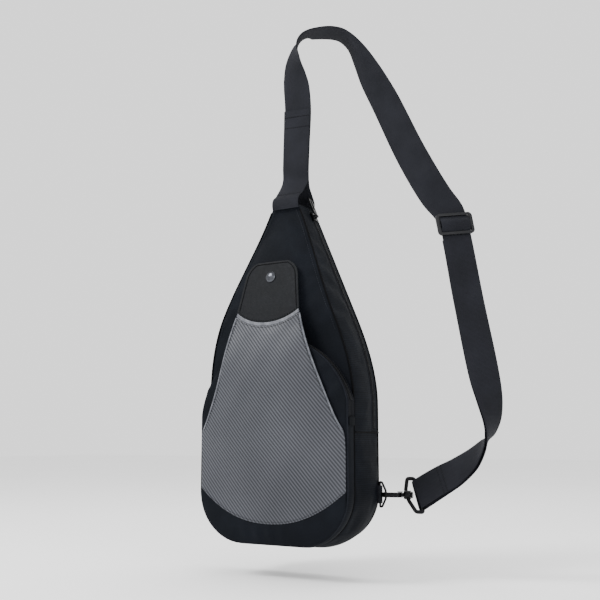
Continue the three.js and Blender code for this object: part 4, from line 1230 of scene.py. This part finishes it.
# %% Wire and turned pieces
def rounded_path(corners, radius, steps=8):
    path = []
    count = len(corners)
    for i, corner in enumerate(corners):
        start = corner + (corners[i - 1] - corner).normalized() * radius
        end = corner + (corners[(i + 1) % count] - corner).normalized() * radius
        for k in range(steps + 1):
            t = k / steps
            path.append(start * (1 - t) ** 2 + corner * 2 * t * (1 - t) + end * t * t)
    return path


def d_ring(side):
    half = [(0, 13.2), (2.6, 12.8), (RING_TIP, 4)]
    corners = half + [(x, -h) for x, h in reversed(half)]
    return [Vector(bag_point(side * (RING_BAR_X + x), RING_Y, RING_H + h)) for x, h in corners]


for word, side in (("right", 1), ("left", -1)):
    route = rounded_path(d_ring(side), 1.2)
    ring = wire(f"d_ring_wire_{word}", route, RING_WIRE, enamel, closed=True, sides=16)
    place_on(ring, f"{word}_ring", "black_metal", f"ring_{word}")


def turned(name, profile, origin, axis, material, sides=48):
    """A closed profile of (radius, height) turned about an axis."""
    axis = Vector(axis).normalized()
    ex = axis.orthogonal().normalized()
    ey = axis.cross(ex)
    points, faces = [], []
    for r, height in profile:
        for j in range(sides):
            angle = 2 * math.pi * j / sides
            out = ex * math.cos(angle) + ey * math.sin(angle)
            points.append(tuple(Vector(origin) + axis * height + out * r))
    for i in range(len(profile) - 1):
        for j in range(sides):
            a, b = i * sides + j, i * sides + (j + 1) % sides
            faces.append((a, b, b + sides, a + sides))
    made = build(name, points, faces, flat_uv(points, faces), material)
    face_outwards(made.data, 1e-6)
    made.data.set_sharp_from_angle(angle=math.radians(50))
    return made


eye_corners = [(COLLAR_FROM + 3, 6), (COLLAR_FROM + 8, EYE_HALF), (EYE_BAR, EYE_HALF),
               (EYE_BAR, -EYE_HALF), (COLLAR_FROM + 8, -EYE_HALF), (COLLAR_FROM + 3, -6)]
eye_route = rounded_path([eye_point(s, k) for s, k in eye_corners], 2.4)
eye = wire("swivel_eye_wire", eye_route, EYE_WIRE + 0.3, enamel, closed=True, sides=16)
COLLAR = [(2.7, 0.2), (2.7, 7.2), (4.2, 7.4), (4.6, 7.0), (4.6, 0.4), (4.2, 0), (2.7, 0.2)]
collar = turned("swivel_collar", COLLAR, hook_origin + hook_along * COLLAR_FROM, hook_along, enamel)
place_on(join(eye, collar), "bag", "black_metal", "hook_eye")

# %% [markdown]
# The ring snap: a domed cap pressed from thin gunmetal sheet with a rolled rim, its socket,
# and the stud and post that stay on the bag.

# %% Snap fastener
SNAP_TILT = math.radians(9)
snap_out = (0, -math.cos(SNAP_TILT), math.sin(SNAP_TILT))
snap_foot = bag_point(SNAP_X, flap_y(SNAP_X, SNAP_H), SNAP_H)
dome = [(0, -3.3), (1.9, -3.3), (1.9, 0.5), (5.7, 0.45), (6.15, 0.6), (6.3, 0.95), (6.2, 1.3)]
dome += [(5.9, 1.5), (5.6, 1.5)]
dome += [(5.5 * math.cos(a), 1.5 + 1.45 * math.sin(a)) for a in map(math.radians, range(6, 90, 7))]
dome.append((0, 3.0))
SOCKET = [(3.2, -5.3), (5.6, -5.3), (5.6, -3.1), (2.2, -3.1), (2.2, -3.6), (3.2, -3.6), (3.2, -5.3)]
STUD = [(0, -6.1), (5.2, -6.1), (5.2, -5.6), (2.9, -5.6), (2.9, -3.9), (0, -3.9)]
POST = [(0, -9.7), (4.8, -9.7), (4.8, -8.9), (1.3, -8.9), (1.3, -6.5), (0, -6.5)]
SNAP_PARTS = [
    ("snap_cap_dome", dome, "flap", "snap_cap"),
    ("snap_socket_ring", SOCKET, "flap", "snap_socket"),
    ("snap_stud_post", STUD, "bag", "snap_stud"),
    ("snap_back_post", POST, "bag", "snap_post"),
]
for name, profile, body_name, node_name in SNAP_PARTS:
    place_on(turned(name, profile, snap_foot, snap_out, gunmetal), body_name, "gunmetal", node_name)

# %% [markdown]
# Zip tapes are woven strips laid on the wall with the coil standing proud between them.
# The main zip runs down the right side, the pocket's zip over its arch.

# %% Zip tapes
ZIP_LOW, ZIP_HIGH = JOIN_H + 1.3, HEIGHT - 3
ARCH_START = math.acos((HALF_WIDTH - ARCH_X) / ARCH_R)
POCKET_FRONT_Y = POCKET_Y + 1.8
TAPE_HALF, TAPE_GAP, TAPE_TOP, TAPE_UNDER, RISE_PART, RISE_TOP = 4.7, 0.15, -0.5, 1.0, 0.02, 151


def wall_point(h, y, inset):
    return bag_point(centre_x(h) + half_width(h, inset), y, h)


def arch_point(angle, y, inset):
    r = ARCH_R - inset
    return bag_point(ARCH_X + r * math.cos(angle), y, ARCH_H + r * math.sin(angle))


def arch_route(t, y, inset):
    """Up the short straight rise on the right, then round the arch."""
    if t < RISE_PART:
        return bag_point(HALF_WIDTH - inset, y, lerp(ZIP_FOOT + 0.3, RISE_TOP, t / RISE_PART))
    return arch_point(lerp(ARCH_START, ZIP_LEFT, (t - RISE_PART) / (1 - RISE_PART)), y, inset)


def tape_strip(name, route, near_y, far_y):
    def face(inset):
        return lambda u, v: route(v, lerp(near_y, far_y, u), inset)
    return slab(name, 90, 4, face(TAPE_UNDER), face(TAPE_TOP), tape)


def main_route(t, y, inset):
    return wall_point(lerp(ZIP_LOW, ZIP_HIGH, t), y, inset)


TAPES = [
    ("main", "front", main_route, ZIP_Y - TAPE_HALF, ZIP_Y - TAPE_GAP),
    ("main", "rear", main_route, ZIP_Y + TAPE_GAP, ZIP_Y + TAPE_HALF),
    ("pocket", "front", arch_route, POCKET_FRONT_Y, POCKET_ZIP_Y - TAPE_GAP),
    ("pocket", "rear", arch_route, POCKET_ZIP_Y + TAPE_GAP, POCKET_BACK_Y),
]
for zip_word, word, route, near_y, far_y in TAPES:
    made = tape_strip(f"{zip_word}_zip_tape_cloth_{word}", route, near_y, far_y)
    face_outwards(made.data)
    place_on(soften(made, 0.2), "bag", "tape", f"{zip_word}_zip_tape_{word}")

# %% [markdown]
# Stitches and zip teeth repeat hundreds of times, so a geometry node group sets one small
# bead along each guide line: its inputs are the spacing and the bead's length and width.

# %% Bead rows by geometry nodes
def bead_group():
    group = bpy.data.node_groups.new("beads along a line", "GeometryNodeTree")
    group.interface.new_socket("Geometry", in_out="INPUT", socket_type="NodeSocketGeometry")
    for name, value in (("Spacing", 0.003), ("Length", 0.002), ("Width", 0.0006)):
        socket = group.interface.new_socket(name, in_out="INPUT", socket_type="NodeSocketFloat")
        socket.default_value = value
    group.interface.new_socket("Finish", in_out="INPUT", socket_type="NodeSocketMaterial")
    group.interface.new_socket("Geometry", in_out="OUTPUT", socket_type="NodeSocketGeometry")
    entry = group.nodes.new("NodeGroupInput")
    lines = node(group, "GeometryNodeMeshToCurve", {0: entry.outputs["Geometry"]})
    places = node(group, "GeometryNodeCurveToPoints", {
        "Curve": lines.outputs[0], "Length": entry.outputs["Spacing"]}, mode="LENGTH")
    bead = node(group, "GeometryNodeMeshIcoSphere", {"Radius": 0.5, "Subdivisions": 2})
    size = node(group, "ShaderNodeCombineXYZ", {
        "X": entry.outputs["Width"], "Y": entry.outputs["Width"], "Z": entry.outputs["Length"]})
    laid = node(group, "GeometryNodeInstanceOnPoints", {
        "Points": places.outputs["Points"], "Instance": bead.outputs["Mesh"],
        "Rotation": places.outputs["Rotation"], "Scale": size.outputs[0]})
    real = node(group, "GeometryNodeRealizeInstances", {0: laid.outputs[0]})
    smoothed = node(group, "GeometryNodeSetShadeSmooth", {0: real.outputs[0]})
    painted = node(group, "GeometryNodeSetMaterial", {
        0: smoothed.outputs[0], "Material": entry.outputs["Finish"]})
    leave = group.nodes.new("NodeGroupOutput")
    group.links.new(painted.outputs[0], leave.inputs[0])
    return group


beads = bead_group()


def bead_row(name, lines, spacing, length, width, material):
    """lines: lists of points in millimetres; sizes in millimetres."""
    points, edges = [], []
    for line in lines:
        first = len(points)
        points += [metres(p) for p in line]
        edges += [(first + i, first + i + 1) for i in range(len(line) - 1)]
    mesh = bpy.data.meshes.new(name)
    mesh.from_pydata(points, edges, [])
    made = add_object(name, mesh)
    modifier = made.modifiers.new("beads", "NODES")
    modifier.node_group = beads
    values = {"Spacing": spacing * MM, "Length": length * MM, "Width": width * MM, "Finish": material}
    for item in beads.interface.items_tree:
        if item.in_out == "INPUT" and item.name in values:
            modifier[item.identifier] = values[item.name]
    return apply_modifiers(made)


def line(point, count=60):
    return [point(i / count) for i in range(count + 1)]


# %% [markdown]
# Each tooth of a coil zip is a loop of nylon; seen from outside it is two rows of beads.

# %% Zip coils
TOOTH_PITCH, TOOTH, TOOTH_WIDTH, COIL_PROUD = 1.25, 0.85, 2.2, 0.45


def coil(name, route, y, from_t, to_t):
    rows = [line(lambda t: route(lerp(from_t, to_t, t), y + offset, -COIL_PROUD), 160)
            for offset in (-1.0, 1.0)]
    return bead_row(name, rows, TOOTH_PITCH, TOOTH, TOOTH_WIDTH, coil_nylon)


main_teeth = coil("main_zip_teeth", main_route, ZIP_Y, 0.02, 0.98)
pocket_teeth = coil("pocket_zip_teeth", arch_route, POCKET_ZIP_Y, 0.021, 0.99)
place_on(main_teeth, "bag", "coil", "main_zip_coil")
place_on(pocket_teeth, "bag", "coil", "pocket_zip_coil")

# %% [markdown]
# Lockstitch rows: thread about 0.5 mm thick, one stitch every 2.7 mm, sunk half way. Where
# the stitches are dark on dark, as on the tab, they are drawn thicker so that they show.

# %% Stitches
STITCH, PITCH, THREAD = 2.1, 2.7, 0.55
TAB_INSET, SIDE_SHARE = 3.0, 0.62


def flap_line(low, high, inset, out=0.1):
    def make(side):
        def point(t):
            h = lerp(low, high, t)
            x = flap_x(h) + side * (flap_half(h, side) - inset)
            return bag_point(x, flap_y(x, h) - out, h)
        return line(point, 90)
    return [make(1), make(-1)]


def foot_line(drop, inset, out):
    def point(t):
        u = (2 * t - 1) * (1 - inset / FOOT_HALF)
        h = tab_foot(u) + drop
        x = flap_x(h) + u * flap_half(h, u)
        return bag_point(x, flap_y(x, h) - out, h)
    return line(point, 60)


def tab_round(t):
    """Just inside the tab's edge, from its foot on the left over the top to the right."""
    across = lerp(-1, 1, t)
    side = 1 if across > 0 else -1
    reach = 1 - abs(across)
    h = lerp(TAB_LOW + 2, TAB_TOP - TAB_INSET, min(1, reach / SIDE_SHARE))
    half = flap_half(min(h + TAB_INSET * 0.4, TAB_TOP), side) - TAB_INSET
    inwards = max(0, (reach - SIDE_SHARE) / (1 - SIDE_SHARE))
    x = flap_x(h) + side * half * (1 - inwards)
    return bag_point(x, flap_y(x, h) - 0.4, h)


flap_rows = flap_line(FLAP_LOW + 1.5, TAB_LOW - 8, EDGE_FOLD + 1.0)
flap_rows.append(foot_line(-STRIP - 1.6, 5, 0.15))
place_on(bead_row("flap_stitches", flap_rows, PITCH, STITCH, THREAD, thread), "flap", "edge")
tab_rows = [foot_line(1.8, 3, 0.4), line(tab_round, 140)]
tab_stitches = bead_row("tab_stitches", tab_rows, PITCH + 0.4, STITCH + 0.2, THREAD + 0.35, thread)
place_on(tab_stitches, "flap", "tab")


def cover_line(t):
    x = lerp(-COVER_HALF + 3, COVER_HALF - 3, t)
    h = cover_low(x) + 2.2
    return bag_point(x, pocket_y(x, h) - 1.65, h)


def gusset_row(side, h):
    return line(lambda t: bag_point(side * (HALF_WIDTH + 0.1 + 0.6 * math.sin(math.pi * t)),
                                    lerp(seam_y(h) + 1.5, BACK_Y - 1.5, t), h), 12)


def arch_row(y):
    return line(lambda t: arch_route(t, y, -0.6), 160)


def zip_row(y):
    return line(lambda t: main_route(t, y, -0.6), 100)


def front_seam_row(side):
    """Top stitching on the front panel, beside the body's welt."""
    def point(t):
        h = lerp(228, HEIGHT - 6, t)
        reach = 1 - 4.5 / half_width(h)
        return bag_point(centre_x(h) + side * reach * half_width(h), front_y(reach, h) - 0.6, h)
    return line(point, 60)


bag_rows = [line(cover_line, 80), front_seam_row(1), front_seam_row(-1)]
bag_rows += [gusset_row(1, JOIN_H - 6), gusset_row(-1, JOIN_H - 6)]
bag_rows += [arch_row(POCKET_FRONT_Y + 1.0), arch_row(POCKET_BACK_Y - 1.2)]
bag_rows += [zip_row(ZIP_Y - 4.0), zip_row(ZIP_Y + 4.0)]


def strap_row(p, n, w):
    """A row across the webbing's near face."""
    reach = WEBBING / 2 - 2.0
    return line(lambda t: tuple(p + w * lerp(-1, 1, t) * reach - n * (WEB_T / 2)), 12)


strap_rows = [strap_row(*frame_of(leg_centres, leg_widths, t)) for t in (0.36, 0.885, 0.955)]
strap_rows += [strap_row(*strap_frame(k, tail_offset(k))) for k in (LAST - 1.2, LAST - 1.0)]
strap_stitches = bead_row("strap_stitches", strap_rows, PITCH, STITCH + 0.3, THREAD + 0.4, thread)
place_on(strap_stitches, "bag", "webbing")
place_on(bead_row("bag_stitches", bag_rows, PITCH, STITCH, THREAD, pale_thread), "bag", "nylon")

# %% [markdown]
# The thread pulls its row into the leather; the shade of that groove round the tab is painted as a thin
# near-black wire.

# %% Stitch channel, painted shade
stitch_groove_shade = wire("tab_stitch_groove_shade", line(tab_round, 140), 0.45, groove_shade_cloth, sides=8)
place_on(stitch_groove_shade, "flap", "tab")

# %% [markdown]
# The padding, its lining and the sleeve are inside the bag. Their CAD solids stay, in
# their own cloth.

# %% Inner layers
for node_name, material in (("back_foam", foam), ("back_lining", lining), ("inner_sleeve", lining)):
    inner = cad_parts[node_name]
    inner.data.materials.clear()
    inner.data.materials.append(material)

# %% [markdown]
# The bag hangs just clear of a pale floor in front of a pale surround. A key lamp on the
# left, a fill on the right and a broad top lamp light it softly, as in a studio.

# %% Floor, light and camera
white, tree, shader = new_material("matt white studio floor", 0.9, 0.1)
place = object_place(tree)
colour(tree, shader, noise(tree, place, 2.0), [(0.0, "#f6f6f6"), (1.0, "#fbfbfb")])
floor_mesh = bpy.data.meshes.new("studio_floor")
HALF_FLOOR, FLOOR_Z, SURROUND = 6.0, -0.62, 1.5
AIM = Vector((-0.02, 0, -0.35))
corners = [(x * HALF_FLOOR, y * HALF_FLOOR, FLOOR_Z) for x, y in ((-1, -1), (1, -1), (1, 1), (-1, 1))]
floor_mesh.from_pydata(corners, [], [(0, 1, 2, 3)])
floor_mesh.materials.append(white)
floor = add_object("studio_floor", floor_mesh)

world = bpy.data.worlds.new("pale surround")
bpy.context.scene.world = world
world.use_nodes = True
backdrop = world.node_tree.nodes["Background"]
backdrop.inputs["Color"].default_value = linear("#ffffff")
backdrop.inputs["Strength"].default_value = SURROUND


def lamp(name, location, power, size):
    light = bpy.data.lights.new(name, "AREA")
    light.energy, light.size = power, size
    made = add_object(name, light)
    made.location = location
    made.rotation_euler = (AIM - Vector(location)).to_track_quat("-Z", "Y").to_euler()


lamp("key", (-0.9, -1.2, 0.9), 34, 0.6)
lamp("fill", (1.3, -0.9, 0.2), 9, 1.0)
lamp("top", (0.1, 0.4, 1.3), 10, 1.0)

CAMERA_PLACE, CAMERA_TILT, CAMERA_TURN = (0.4898, -0.8723, -0.4734), math.radians(98.84), math.radians(31)
camera_data = bpy.data.cameras.new("camera")
camera_data.lens, camera_data.sensor_width = 54, 36
camera_data.clip_start = 0.01
camera = add_object("camera", camera_data)
camera.location = CAMERA_PLACE
camera.rotation_euler = (CAMERA_TILT, 0, CAMERA_TURN)
bpy.context.scene.camera = camera
